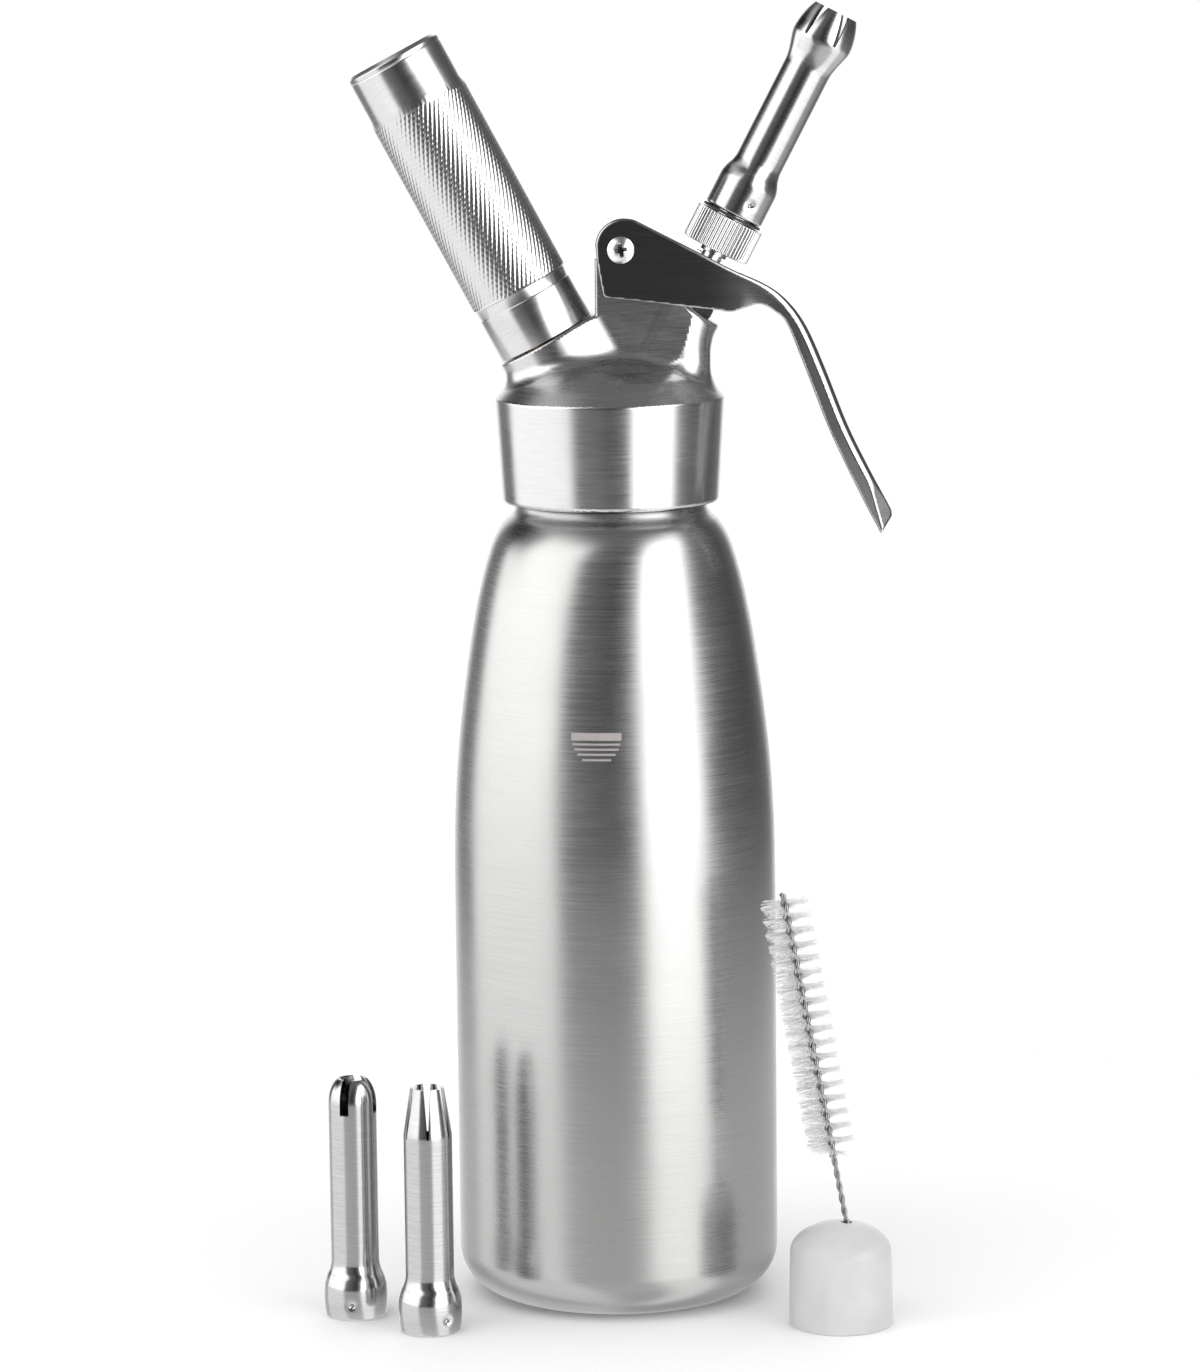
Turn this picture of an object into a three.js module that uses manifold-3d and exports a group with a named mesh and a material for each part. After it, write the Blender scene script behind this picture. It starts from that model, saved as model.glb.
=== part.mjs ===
// Whipped cream dispenser: a steel bottle with a screwed-on cast head. The head carries a tilted holder for a
// gas cartridge on the left, and on the right a spring-closed valve with a squeeze lever and a screwed-on
// nozzle. Two spare nozzles and a cleaning brush, standing in a plastic cap, stand beside it.
// Millimetres, +Z up, X to the right, Y away from the viewer. The origin is the centre of the bottle's base.

import * as THREE from 'three';
import { ConvexGeometry } from 'three/addons/geometries/ConvexGeometry.js';
import { mergeVertices } from 'three/addons/utils/BufferGeometryUtils.js';
import Module from 'manifold-3d';

const wasm = await Module();
wasm.setup();

// Clearances shared by the whole assembly
const seatGap = 0.3;
const runningGap = 0.35;
const screwGap = 0.3;
const cutOverrun = 2;
const ridgeBite = 0.5;

// Bottle
const bottleR = 45.8;
const bottleCornerR = 13;
const bottleShoulderR = 30.6;
const bottleHeight = 247;
const bottleWall = 1;
const bottleBaseWall = 1.5;
const neckR = 26.4;
const neckLength = 19;
const neckFoot = bottleHeight - neckLength;
const neckBlend = 6.1;
const neckLipR = 0.5;
const neckPitch = 4;
const neckThreadDepth = 1.4;
const neckThreadWidth = 1.6;
const neckThreadCrest = 0.9;
const neckThreadRise = 4.5;
const neckThreadFoot = neckFoot + neckThreadRise;
const neckThreadTurns = 2;
const bottleShoulderTop = neckFoot - neckBlend;
const shoulderLength = 96.9;
const bottleSideTop = bottleShoulderTop - shoulderLength;
// Height and radius along the shoulder, as shares of the way from the side wall to the shoulder's top
const bottleShoulderShares = [
  [0.17, 0.033], [0.35, 0.115], [0.53, 0.26], [0.67, 0.385], [0.8, 0.53], [0.89, 0.68], [0.96, 0.83],
];

// Head
const skirtHeight = 29.6;
const skirtBottom = neckFoot - seatGap;
const skirtTop = skirtBottom + skirtHeight;
const skirtBottomR = 30.6;
const skirtTopR = 32.3;
const skirtBoreR = 28.6;
const skirtEdge = 1.2;
const skirtThreadDepth = 1.7;
const skirtThreadWidth = 1.5;
const skirtThreadCrest = 0.8;
const skirtThreadTurns = 1;
const shoulderRise = 12;
const gasketR = 28.1;
const gasketBoreR = 23.5;
const gasketThickness = 2.3;
const chamberR = 22.5;
const chamberWall = 4.1;
const chamberRoofR = 12;
const chamberRoofRise = 6;
// Radius and height along the shoulder, as shares of the skirt's radius and the shoulder's rise
const headShoulderShares = [
  [0.978, 0.06], [0.935, 0.24], [0.895, 0.42], [0.82, 0.62], [0.62, 0.88], [0.3, 0.99],
];
const slabHalfWidth = 10.5;
const slabInset = 3.6;

// Charger line: the axis of the port, pin, cartridge and holder. Its zero is the holder's lower face.
const chargerTilt = THREE.MathUtils.degToRad(-28);
const chargerRise = 16.98;
const chargerOrigin = new THREE.Vector3(-17.77, 0, skirtTop + chargerRise);
const chargerBossR = 14.85;
const chargerBossDepth = 20;
const portShankR = 7.5;
const portShankLength = 17.5;
const portNippleR = 9.6;
const portTop = 21.5;
const portBoreR = 1.6;
const portSeatR = 3.3;
const portSeatFoot = 13;
const portNeckBoreR = 5;
const portNeckFoot = 16.6;
const portPitch = 2.5;
const portThreadDepth = 0.9;
const portThreadWidth = 1;
const portThreadCrest = 0.5;
const portThreadFoot = 4;
const portThreadTurns = 2;
const pinBaseR = 3;
const pinBaseHeight = 3;
const pinR = 1.1;
const pinTipR = 0.75;
const pinBoreR = 0.45;
const pinLength = 7;
const portGasketThickness = 1.4;
const portGasketBoreR = 2.2;
const chargerR = 9;
const chargerLength = 65.5;
const chargerNeckR = 4.4;
const chargerNeckLength = 8.4;
const chargerShoulder = 8;
const chargerWall = 1.2;
const chargerHoleR = 1.5;
const holderLength = 89.9;
const holderKnurlR = 14.45;
const holderFootR = 14.15;
const holderStripR = 13.95;
const holderHeadR = 14.1;
const holderRimR = 14.25;
const holderFootBand = 12.6;
const holderStrip = 3.4;
const holderKnurl = 58;
const holderBevel = 2;
const holderRim = 1.9;
const holderEdge = 0.6;
const holderMouthR = 11.3;
const holderMouthDepth = 22.5;
const holderThreadDepth = 1.3;
const holderThreadTurns = 1;
const holderCrown = 0.5;

// Valve line: the axis that the valve, adaptor and nozzle share. Its zero is the face of the valve boss.
const valveTilt = THREE.MathUtils.degToRad(27.5);
const valveRise = 24.9;
const valveOrigin = new THREE.Vector3(21.5, 0, skirtTop + valveRise);
const valveBossR = 10.65;
const valveBossDepth = 26;
const glandBoreR = 6.2;
const glandBoreDepth = 12;
const glandLength = 9.4;
const oRingSectionR = 0.8;
const valveBoreR = 3.6;
const valveSeat = -22;
const valveSeatBoreR = 6.5;
const valveSeatBoreDepth = 12;
const stemR = 3;
const stemBoreR = 1.5;
const stemHeadR = 4.6;
const stemHeadHeight = 1.6;
const stemCollarR = 5.2;
const stemCollarHeight = 1.6;
const stemCollarTop = 13.6;
const stemThreadR = 2.4;
const stemThreadShoulder = 19.5;
const stemTop = 26;
const stemPitch = 2;
const stemThreadDepth = 0.6;
const stemThreadWidth = 0.7;
const stemThreadCrest = 0.35;
const stemThreadTurns = 2;
const stemPortR = 0.9;
const valveSealR = 5.4;
const valveSealThickness = 1.8;
const washerR = 7.5;
const washerThickness = 2.7;
const springWireR = 0.5;
const springCurls = 5;
const springWireSides = 5;
const adaptorNeckFoot = 17;
const adaptorNeckR = 3.95;
const adaptorFoot = 18.4;
const adaptorTop = 28.25;
const adaptorR = 9.8;
const adaptorEdge = 0.5;
const adaptorWaterR = 1.8;
const adaptorThreadDepth = 0.6;
const adaptorThreadTurns = 1;
const adaptorSealThickness = 1.3;
const adaptorSealBoreR = 1.6;
const spigotR = 5.6;
const spigotLength = 8;
const spigotThreadDepth = 0.7;
const nozzleSealThickness = 0.65;
const nozzleSealR = 8.75;

// Nozzles. Their profiles' heights start at the base, and their radii are the outer ones.
const nozzleBaseR = 8.6;
const nozzleBaseLength = 10;
const nozzleFlare = 5;
const nozzleTubeR = 6.8;
const nozzleWall = 0.8;
const nozzleDimpleR = 1;
const nozzleDimpleDepth = 0.4;
const nozzleDimpleHeight = 4.4;
const nozzleDimples = 3;
const tulipLength = 63;
const tulipSwellStart = 46.5;
const tulipSwellR = 8.7;
const tulipSwellHeight = 55;
const tulipTipR = 6.6;
const tulipSlotFoot = 54;
const tulipSlotTipWidth = 2.7;
const tulipSlotFootWidth = 0.8;
const tulipSlots = 6;
const tulipSlotTurn = THREE.MathUtils.degToRad(-36);
// Height and radius of the swollen tip, as shares of the way from its start to its widest place
const tulipSwellShares = [[0.3, 0.21], [0.65, 0.73]];
// Height and radius of the closing end, as shares of the way from widest to tip
const tulipCloseShares = [[0.5, 0.25], [1, 1]];
const domeLength = 68.4;
const domeStart = 61.3;
const domeTipR = 4.2;
const domeCurveEnd = 60;
const domeSlotFoot = 58.8;
const domeSlotWidth = 2.6;
const domeSlots = 4;
const domeSlotTurn = THREE.MathUtils.degToRad(-18);
const starLength = 69.6;
const starTaperStart = 56.2;
const starTipR = 4.7;
const starSlotFootWidth = 0.4;
const starSlotTipWidth = 2.2;
const starSlotFoot = 55.6;
const starSlots = 6;
const starSlotTurn = THREE.MathUtils.degToRad(2);
const insertWall = 0.7;
const insertHeight = 8.4;
const insertThreadDepth = 0.8;
const insertThreadTurns = 1;
const domeNozzlePlace = new THREE.Vector3(-74.9, -30.4, 0);
const starNozzlePlace = new THREE.Vector3(-53.2, -47.9, 0);

// Lever and its hinge
const hingeX = 3.4;
const hingeRise = 42.1;
const hingeZ = skirtTop + hingeRise;
const leverHalfWidth = 12.8;
const leverSheet = 1.6;
const leverGap = 0.9;
const leverFlat = 6.1;
const leverWrapR = 7;
const leverReach = 75.6;
const leverDrop = 76.4;
const handleHalfWidth = 9.6;
const handleTipHalfWidth = 7.8;
const handleTaper = 29.2;
const leverSlotRun = 1.4;
const leverSlotClearance = 0.5;
const leverWrapSteps = 6;
// Points along the lever, from the hinge, as shares of its reach and drop
const leverBackShares = [
  [0.54, 0.136], [0.62, 0.2], [0.687, 0.292], [0.754, 0.444], [0.837, 0.654], [0.915, 0.814],
];
const leverTipShares = [[1, 0.974], [1, 1], [0.96, 1.062]];
const leverBellyShares = [
  [-0.07, 0.126], [-0.061, 0.166], [-0.054, 0.175], [0.354, 0.224], [0.407, 0.232], [0.46, 0.217],
  [0.513, 0.2055], [0.565, 0.232], [0.615, 0.284], [0.69, 0.469], [0.778, 0.694], [0.886, 0.92],
];
const hingePinR = 2.4;
const hingeHeadR = 3.75;
const hingeHeadHeight = 2;
const hingeHeadRim = 0.8;
const hingeHeadCrownR = 2.62;
const hingeCrossWidth = 0.9;
const hingeCrossLength = 4;
const hingeCrossDepth = 1;
const hingeNutR = 4.2;
const hingeNutHeight = 3.4;
const postR = 4.8;
const postHeelReach = 7.3;
const postHeelDrop = 2.6;

// Cleaning brush and the cap that it stands in
const capPlace = new THREE.Vector3(62, -45, 0);
const capR = 14.7;
const capTopR = 14.2;
const capSide = 20.5;
const capHeight = 29;
const capWall = 1.6;
const capHoleR = 1.6;
const brushTilt = THREE.MathUtils.degToRad(-10.5);
const brushFoot = new THREE.Vector3(68.9, -45, 0.3);
const brushLength = 124.4;
const wireR = 0.8;
const coreR = 1.15;
const coreLength = 76;
const bristleZone = 73;
const bristleR = 6.8;
const bristlePairs = 150;
const bristlePitch = 7.6;
const bristleThickness = 0.17;
const bristleRootR = 0.55;

// Fineness of the round shapes, in sides
const bottleSides = 32;
const headSides = 32;
const holderSides = 24;
const nozzleSides = 18;
const smallSides = 16;
const wireSides = 8;
const neckThreadSides = 20;
const coreSides = 6;
const springStepsPerCurl = 12;
const bristleSides = 3;

// Finishes
const brushedSteel = { color: 0xb8b8b8, roughness: 0.38, metalness: 1 };
const polishedSteel = { color: 0xd6d6d6, roughness: 0.14, metalness: 1 };
const polishedAluminium = { color: 0xd9dadb, roughness: 0.22, metalness: 1 };
const knurledSteel = { color: 0xc4c4c4, roughness: 0.3, metalness: 1 };
const blackRubber = { color: 0x1b1b1b, roughness: 0.8, metalness: 0 };
const whitePlastic = { color: 0xe4e4e2, roughness: 0.45, metalness: 0 };
const whiteNylon = { color: 0xececec, roughness: 0.6, metalness: 0 };
const brass = { color: 0xb59a5b, roughness: 0.35, metalness: 1 };

const dispenser = new THREE.Group();
const chargerLine = new THREE.Group();
chargerLine.position.copy(chargerOrigin);
chargerLine.rotation.y = chargerTilt;
const valveLine = new THREE.Group();
valveLine.position.copy(valveOrigin);
valveLine.rotation.y = valveTilt;
dispenser.add(chargerLine, valveLine);

function addPart(parent, name, geometry, finish) {
  const mesh = new THREE.Mesh(geometry, new THREE.MeshStandardMaterial(finish));
  mesh.name = name;
  geometry.computeVertexNormals();
  parent.add(mesh);
  return mesh;
}

function signedVolume(points, triangles) {
  const corners = [new THREE.Vector3(), new THREE.Vector3(), new THREE.Vector3()];
  let volume = 0;
  for (let i = 0; i < triangles.length; i += 3) {
    corners.forEach((corner, side) => corner.fromArray(points, 3 * triangles[i + side]));
    volume += corners[0].dot(corners[1].cross(corners[2])) / 6;
  }
  return volume;
}

// A closed solid from a three.js geometry: shared corners are merged, and the faces point out
function solid(geometry) {
  const bare = geometry.clone();
  bare.deleteAttribute('normal');
  bare.deleteAttribute('uv');
  const merged = mergeVertices(bare);
  const points = merged.attributes.position.array;
  const triangles = [];
  for (let i = 0; i < merged.index.count; i += 3) {
    const [a, b, c] = [merged.index.getX(i), merged.index.getX(i + 1), merged.index.getX(i + 2)];
    if (a !== b && b !== c && c !== a) triangles.push(a, b, c);
  }
  if (signedVolume(points, triangles) < 0) triangles.reverse();
  const mesh = new wasm.Mesh({ numProp: 3, vertProperties: points, triVerts: new Uint32Array(triangles) });
  return new wasm.Manifold(mesh);
}

function geometryOf(manifold) {
  const mesh = manifold.getMesh();
  const geometry = new THREE.BufferGeometry();
  geometry.setAttribute('position', new THREE.BufferAttribute(new Float32Array(mesh.vertProperties), 3));
  geometry.setIndex(new THREE.BufferAttribute(new Uint32Array(mesh.triVerts), 1));
  return geometry;
}

function join(...solids) {
  return solids.reduce((whole, next) => whole.add(next));
}

function cut(whole, ...cutters) {
  return cutters.reduce((rest, cutter) => rest.subtract(cutter), whole);
}

// A solid of revolution about +Z from pairs of radius and height
function turned(profile, sides) {
  const points = profile.map(([radius, height]) => new THREE.Vector2(radius, height));
  return solid(new THREE.LatheGeometry(points, sides).rotateX(Math.PI / 2));
}

function rod(radius, low, high, sides) {
  return turned([[0, low], [radius, low], [radius, high], [0, high]], sides);
}

function ring(innerRadius, outerRadius, low, high, sides) {
  const profile = [[innerRadius, low], [outerRadius, low], [outerRadius, high], [innerRadius, high]];
  return turned([...profile, profile[0]], sides);
}

// A plate from an outline in X and Z, with its thickness along Y
function plateXZ(shape, halfWidth) {
  const depth = 2 * halfWidth;
  const geometry = new THREE.ExtrudeGeometry(shape, { depth, bevelEnabled: false, curveSegments: 8 });
  return solid(geometry.rotateX(Math.PI / 2).translate(0, halfWidth, 0));
}

// A plate from an outline in X and Y, with its thickness along Z
function plateXY(shape, low, high) {
  const depth = high - low;
  const geometry = new THREE.ExtrudeGeometry(shape, { depth, bevelEnabled: false, curveSegments: 8 });
  return solid(geometry.translate(0, 0, low));
}

function outline(points) {
  return new THREE.Shape(points.map(([x, y]) => new THREE.Vector2(x, y)));
}

function placed(manifold, line) {
  line.updateMatrix();
  return manifold.transform(line.matrix.elements);
}

function turnedAboutZ(manifold, angle) {
  return manifold.transform(new THREE.Matrix4().makeRotationZ(angle).elements);
}

// A screw thread's ridge on a wall of radius wallR. A positive depth stands out, a negative depth stands in.
function threadRidge({ wallR, depth, width, crest, pitch, turns, foot, sides }) {
  const steps = Math.round(turns * sides);
  const bite = Math.sign(depth) * ridgeBite;
  const runOut = sides / 6;
  const points = [];
  for (let i = 0; i <= steps; i += 1) {
    const angle = (2 * Math.PI * i) / sides;
    const middle = foot + (pitch * i) / sides;
    const full = Math.min(1, i / runOut, (steps - i) / runOut);
    const crestR = wallR + depth * full;
    const section = [
      [wallR - bite, middle - width / 2], [crestR, middle - crest / 2],
      [crestR, middle + crest / 2], [wallR - bite, middle + width / 2],
    ];
    section.forEach(([radius, z]) => points.push(radius * Math.cos(angle), radius * Math.sin(angle), z));
  }
  return solid(sweptGeometry(points, 4));
}

// Skins a row of equal sections, given as one list of coordinates, and closes both ends
function sweptGeometry(points, corners) {
  const last = points.length / 3 - corners;
  const triangles = [];
  for (let start = 0; start < last; start += corners) {
    for (let side = 0; side < corners; side += 1) {
      const a = start + side;
      const b = start + ((side + 1) % corners);
      triangles.push(a, b, a + corners, b, b + corners, a + corners);
    }
  }
  for (let side = 1; side < corners - 1; side += 1) {
    triangles.push(0, side + 1, side, last, last + side, last + side + 1);
  }
  const geometry = new THREE.BufferGeometry();
  geometry.setAttribute('position', new THREE.Float32BufferAttribute(points, 3));
  geometry.setIndex(triangles);
  return geometry;
}

function arcPoints(centreX, centreY, radius, from, to, steps) {
  return Array.from({ length: steps + 1 }, (_, i) => {
    const angle = THREE.MathUtils.degToRad(from + ((to - from) * i) / steps);
    return [centreX + radius * Math.cos(angle), centreY + radius * Math.sin(angle)];
  });
}

// Bottle: drawn in one piece, with a rounded foot, a long shoulder and a threaded neck
function makeBottle() {
  const shoulderAt = (inset) => bottleShoulderShares.map(([up, inward]) => [
    bottleR - inward * (bottleR - bottleShoulderR) - inset,
    bottleSideTop + up * (bottleShoulderTop - bottleSideTop),
  ]);
  const outer = [
    [0, 0],
    ...arcPoints(bottleR - bottleCornerR, bottleCornerR, bottleCornerR, -90, 0, 4),
    [bottleR, bottleSideTop],
    ...shoulderAt(0),
    [bottleShoulderR, bottleShoulderTop],
    [neckR + bottleWall, (bottleShoulderTop + neckFoot) / 2],
    [neckR, neckFoot],
    [neckR, bottleHeight - neckLipR],
    [neckR - neckLipR, bottleHeight],
  ];
  const innerCornerR = bottleCornerR - bottleWall;
  const inner = [
    [neckR - bottleWall, bottleHeight],
    [neckR - bottleWall, neckFoot],
    [bottleShoulderR - bottleWall, bottleShoulderTop - bottleWall],
    ...shoulderAt(bottleWall).filter((_, i) => i % 2 === 1).reverse(),
    [bottleR - bottleWall, bottleSideTop],
    ...arcPoints(bottleR - bottleCornerR, bottleBaseWall + innerCornerR, innerCornerR, 0, -90, 3),
    [0, bottleBaseWall],
  ];
  const shell = turned([...outer, ...inner], bottleSides);
  const thread = threadRidge({
    wallR: neckR, depth: neckThreadDepth, width: neckThreadWidth, crest: neckThreadCrest,
    pitch: neckPitch, turns: neckThreadTurns, foot: neckThreadFoot, sides: neckThreadSides,
  });
  const throat = rod(neckR - bottleWall, neckFoot, bottleHeight + cutOverrun, bottleSides);
  return cut(join(shell, thread), throat);
}

const gasketFoot = bottleHeight + seatGap;
const gasketSeat = gasketFoot + gasketThickness + seatGap;

function makeHeadGasket() {
  return ring(gasketBoreR, gasketR, gasketFoot, gasketFoot + gasketThickness, headSides);
}

function headSkirt() {
  const shoulder = headShoulderShares.map(([out, up]) => [out * skirtTopR, skirtTop + up * shoulderRise]);
  return turned([
    [0, skirtBottom],
    [skirtBottomR - skirtEdge, skirtBottom],
    [skirtBottomR, skirtBottom + skirtEdge],
    [skirtTopR, skirtTop],
    ...shoulder,
    [0, skirtTop + shoulderRise],
  ], headSides);
}

// Outline of the upright slab between the bosses: hinge post, its heel, and the flank of the valve boss
function headSlab() {
  const across = new THREE.Vector2(Math.cos(valveTilt), -Math.sin(valveTilt)).multiplyScalar(valveBossR);
  const boss = new THREE.Vector2(valveOrigin.x, valveOrigin.z);
  const farCorner = boss.clone().add(across);
  const nearCorner = boss.clone().sub(across);
  const footZ = skirtTop - skirtEdge;
  const postLeft = hingeX - postHeelReach;
  const heelTop = hingeZ - postHeelDrop;
  const flankX = skirtTopR - slabInset;
  const shape = new THREE.Shape();
  shape.moveTo(postLeft, footZ);
  shape.lineTo(flankX, footZ);
  shape.lineTo(flankX, skirtTop + shoulderRise / 2);
  shape.lineTo(farCorner.x, farCorner.y);
  shape.lineTo(nearCorner.x, nearCorner.y);
  shape.lineTo(hingeX + postR, nearCorner.y + skirtEdge);
  shape.lineTo(hingeX + postR, hingeZ);
  shape.absarc(hingeX, hingeZ, postR, 0, Math.PI * 1.1, false);
  shape.lineTo(postLeft + skirtEdge, heelTop);
  shape.lineTo(postLeft, heelTop - skirtEdge);
  shape.closePath();
  return plateXZ(shape, slabHalfWidth);
}

function crossDrill(radius, halfLength, sides) {
  const drill = new THREE.CylinderGeometry(radius, radius, 2 * halfLength, sides);
  return solid(drill.translate(hingeX, 0, hingeZ));
}

// Blend between a boss and the skirt: the hull of the boss's lower turn and a disc in the shoulder
function bossFlank(line, radius, depth) {
  line.updateMatrix();
  const points = [];
  for (let i = 0; i < smallSides; i += 1) {
    const angle = (2 * Math.PI * i) / smallSides;
    const [x, y] = [radius * Math.cos(angle), radius * Math.sin(angle)];
    points.push(new THREE.Vector3(x, y, -skirtEdge * 2).applyMatrix4(line.matrix));
    points.push(new THREE.Vector3(x, y, -depth).applyMatrix4(line.matrix));
    const footR = skirtTopR - 2 * skirtEdge;
    points.push(new THREE.Vector3(footR * Math.cos(angle), footR * Math.sin(angle), skirtTop));
  }
  const side = Math.sign(line.position.x);
  return solid(new ConvexGeometry(points.filter((point) => point.x * side > -skirtEdge)));
}

// Head casting: skirt with an internal thread, charger boss, valve boss and hinge post, all in one
function makeHeadCasting() {
  const chargerBoss = placed(rod(chargerBossR, -chargerBossDepth, -seatGap, headSides), chargerLine);
  const valveBoss = placed(rod(valveBossR, -valveBossDepth, 0, smallSides), valveLine);
  const flank = bossFlank(chargerLine, chargerBossR, chargerBossDepth / 2);
  const body = join(headSkirt(), headSlab(), chargerBoss, valveBoss, flank);
  const chamberTop = gasketSeat + chamberWall;
  const bore = turned([
    [0, skirtBottom - cutOverrun],
    [skirtBoreR, skirtBottom - cutOverrun],
    [skirtBoreR, gasketSeat],
    [chamberR, gasketSeat],
    [chamberR, chamberTop],
    [chamberRoofR, chamberTop + chamberRoofRise],
    [0, chamberTop + chamberRoofRise],
  ], headSides);
  const portFoot = -portShankLength - 2 * cutOverrun;
  const portBore = placed(rod(portShankR + seatGap, portFoot, cutOverrun, smallSides), chargerLine);
  const valveBores = placed(join(
    rod(glandBoreR, -glandBoreDepth, cutOverrun, smallSides),
    rod(valveBoreR, valveSeat - cutOverrun, 0, smallSides),
    rod(valveSeatBoreR, valveSeat - valveSeatBoreDepth, valveSeat, smallSides),
  ), valveLine);
  const hingeBore = crossDrill(hingePinR + runningGap, slabHalfWidth + cutOverrun, smallSides);
  const thread = threadRidge({
    wallR: skirtBoreR, depth: -skirtThreadDepth, width: skirtThreadWidth, crest: skirtThreadCrest,
    pitch: neckPitch, turns: skirtThreadTurns, foot: neckThreadFoot + neckPitch / 2, sides: neckThreadSides,
  });
  return join(cut(body, bore, portBore, valveBores, hingeBore), thread);
}

// Port: the nipple that the holder screws on, with the pin's seat and the cartridge's seat inside
function makeChargerPort() {
  const body = turned([
    [portBoreR, -portShankLength],
    [portShankR, -portShankLength],
    [portShankR, 0],
    [portNippleR, 0],
    [portNippleR, portTop - skirtEdge],
    [portNippleR - skirtEdge, portTop],
    [portNeckBoreR, portTop],
    [portNeckBoreR, portNeckFoot],
    [portSeatR, portNeckFoot],
    [portSeatR, portSeatFoot],
    [portBoreR, portSeatFoot],
    [portBoreR, -portShankLength],
  ], smallSides);
  const thread = threadRidge({
    wallR: portNippleR, depth: portThreadDepth, width: portThreadWidth, crest: portThreadCrest,
    pitch: portPitch, turns: portThreadTurns, foot: portThreadFoot, sides: smallSides,
  });
  return join(body, thread);
}

function makePiercingPin() {
  const foot = portSeatFoot + seatGap;
  return turned([
    [pinBoreR, foot],
    [pinBaseR, foot],
    [pinBaseR, foot + pinBaseHeight],
    [pinR, foot + pinBaseHeight],
    [pinR, foot + pinLength - pinR],
    [pinTipR, foot + pinLength],
    [pinBoreR, foot + pinLength],
    [pinBoreR, foot],
  ], wireSides);
}

const portGasketFoot = portNeckFoot + seatGap;
const chargerFoot = portGasketFoot + portGasketThickness + seatGap;
const chargerTop = chargerFoot + chargerLength;

function makePortGasket() {
  const outerR = portNeckBoreR - seatGap;
  return ring(portGasketBoreR, outerR, portGasketFoot, portGasketFoot + portGasketThickness, smallSides);
}

// Gas cartridge: a steel flask, neck down, with its seal pierced by the pin
function makeCharger() {
  const shoulder = chargerFoot + chargerNeckLength;
  const side = shoulder + chargerShoulder;
  const inner = chargerR - chargerWall;
  const capCentre = chargerTop - chargerR;
  return turned([
    [chargerHoleR, chargerFoot],
    [chargerNeckR, chargerFoot],
    [chargerNeckR, shoulder],
    [chargerR, side],
    ...arcPoints(0, capCentre, chargerR, 0, 90, 4),
    ...arcPoints(0, capCentre, inner, 90, 0, 4),
    [inner, side],
    [chargerNeckR - chargerWall, shoulder],
    [chargerNeckR - chargerWall, chargerFoot + chargerWall],
    [chargerHoleR, chargerFoot + chargerWall],
    [chargerHoleR, chargerFoot],
  ], smallSides);
}

// Holder: a turned cup with a knurled grip between two smooth bands
function makeChargerHolder() {
  const strip = holderFootBand;
  const knurl = strip + holderStrip;
  const bevel = knurl + holderKnurl;
  const headBand = bevel + holderBevel;
  const rim = holderLength - holderRim;
  const boreR = chargerR + runningGap;
  const boreTop = chargerTop + runningGap;
  const body = turned([
    [holderMouthR, 0],
    [holderFootR - holderEdge, 0],
    [holderFootR, holderEdge],
    [holderFootR, strip],
    [holderStripR, strip],
    [holderStripR, knurl],
    [holderKnurlR, knurl],
    [holderKnurlR, bevel],
    [holderHeadR, headBand],
    [holderHeadR, rim],
    [holderRimR, rim + holderEdge],
    [holderRimR, holderLength - holderEdge],
    [holderRimR - holderEdge, holderLength],
    [holderHeadR / 2, holderLength - holderCrown],
    [0, holderLength - holderCrown],
    ...arcPoints(0, boreTop - boreR, boreR, 90, 0, 4),
    [boreR, holderMouthDepth + holderMouthR - boreR],
    [holderMouthR, holderMouthDepth],
    [holderMouthR, 0],
  ], holderSides);
  const thread = threadRidge({
    wallR: holderMouthR, depth: -holderThreadDepth, width: portThreadWidth, crest: portThreadCrest,
    pitch: portPitch, turns: holderThreadTurns, foot: portThreadFoot + portPitch / 2, sides: smallSides,
  });
  return join(body, thread);
}

// Gland: the bush that guides the stem and keeps the o-ring in
function makeValveGland() {
  return ring(stemR + runningGap, glandBoreR - seatGap, -seatGap - glandLength, -seatGap, smallSides);
}

function makeStemORing() {
  const middle = -glandBoreDepth + seatGap + oRingSectionR;
  const centreR = stemR + seatGap + oRingSectionR;
  return solid(new THREE.TorusGeometry(centreR, oRingSectionR, 6, smallSides).translate(0, 0, middle));
}

function makeValveWasher() {
  return ring(stemR + runningGap, washerR, seatGap, washerThickness + seatGap, smallSides);
}

const sealTop = valveSeat - seatGap;
const stemHeadTop = sealTop - valveSealThickness - seatGap;

function makeValveSeal() {
  return ring(stemR + seatGap, valveSealR, sealTop - valveSealThickness, sealTop, smallSides);
}

// Stem: a hollow pin with an inner head behind the seal, a collar under the lever and a threaded outer end
function makeValveStem() {
  const collarFoot = stemCollarTop - stemCollarHeight;
  const threadFoot = stemThreadShoulder + stemPitch / 2;
  const passage = stemHeadTop + stemBoreR;
  const body = turned([
    [0, stemHeadTop - stemHeadHeight],
    [stemHeadR, stemHeadTop - stemHeadHeight],
    [stemHeadR, stemHeadTop],
    [stemR, stemHeadTop],
    [stemR, collarFoot],
    [stemCollarR, collarFoot],
    [stemCollarR, stemCollarTop],
    [stemR, stemCollarTop],
    [stemR, stemThreadShoulder],
    [stemThreadR, stemThreadShoulder],
    [stemThreadR, stemTop],
    [stemBoreR, stemTop],
    [stemBoreR, passage],
    [0, passage],
  ], smallSides);
  const thread = threadRidge({
    wallR: stemThreadR, depth: stemThreadDepth, width: stemThreadWidth, crest: stemThreadCrest,
    pitch: stemPitch, turns: stemThreadTurns, foot: threadFoot, sides: smallSides,
  });
  const port = new THREE.CylinderGeometry(stemPortR, stemPortR, 2 * (stemR + cutOverrun), wireSides);
  const portHeight = valveSeat + 2 * stemPortR;
  const bore = rod(stemBoreR, passage, stemTop + cutOverrun, smallSides);
  return cut(join(body, thread), bore, solid(port.translate(0, 0, portHeight)));
}

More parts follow.
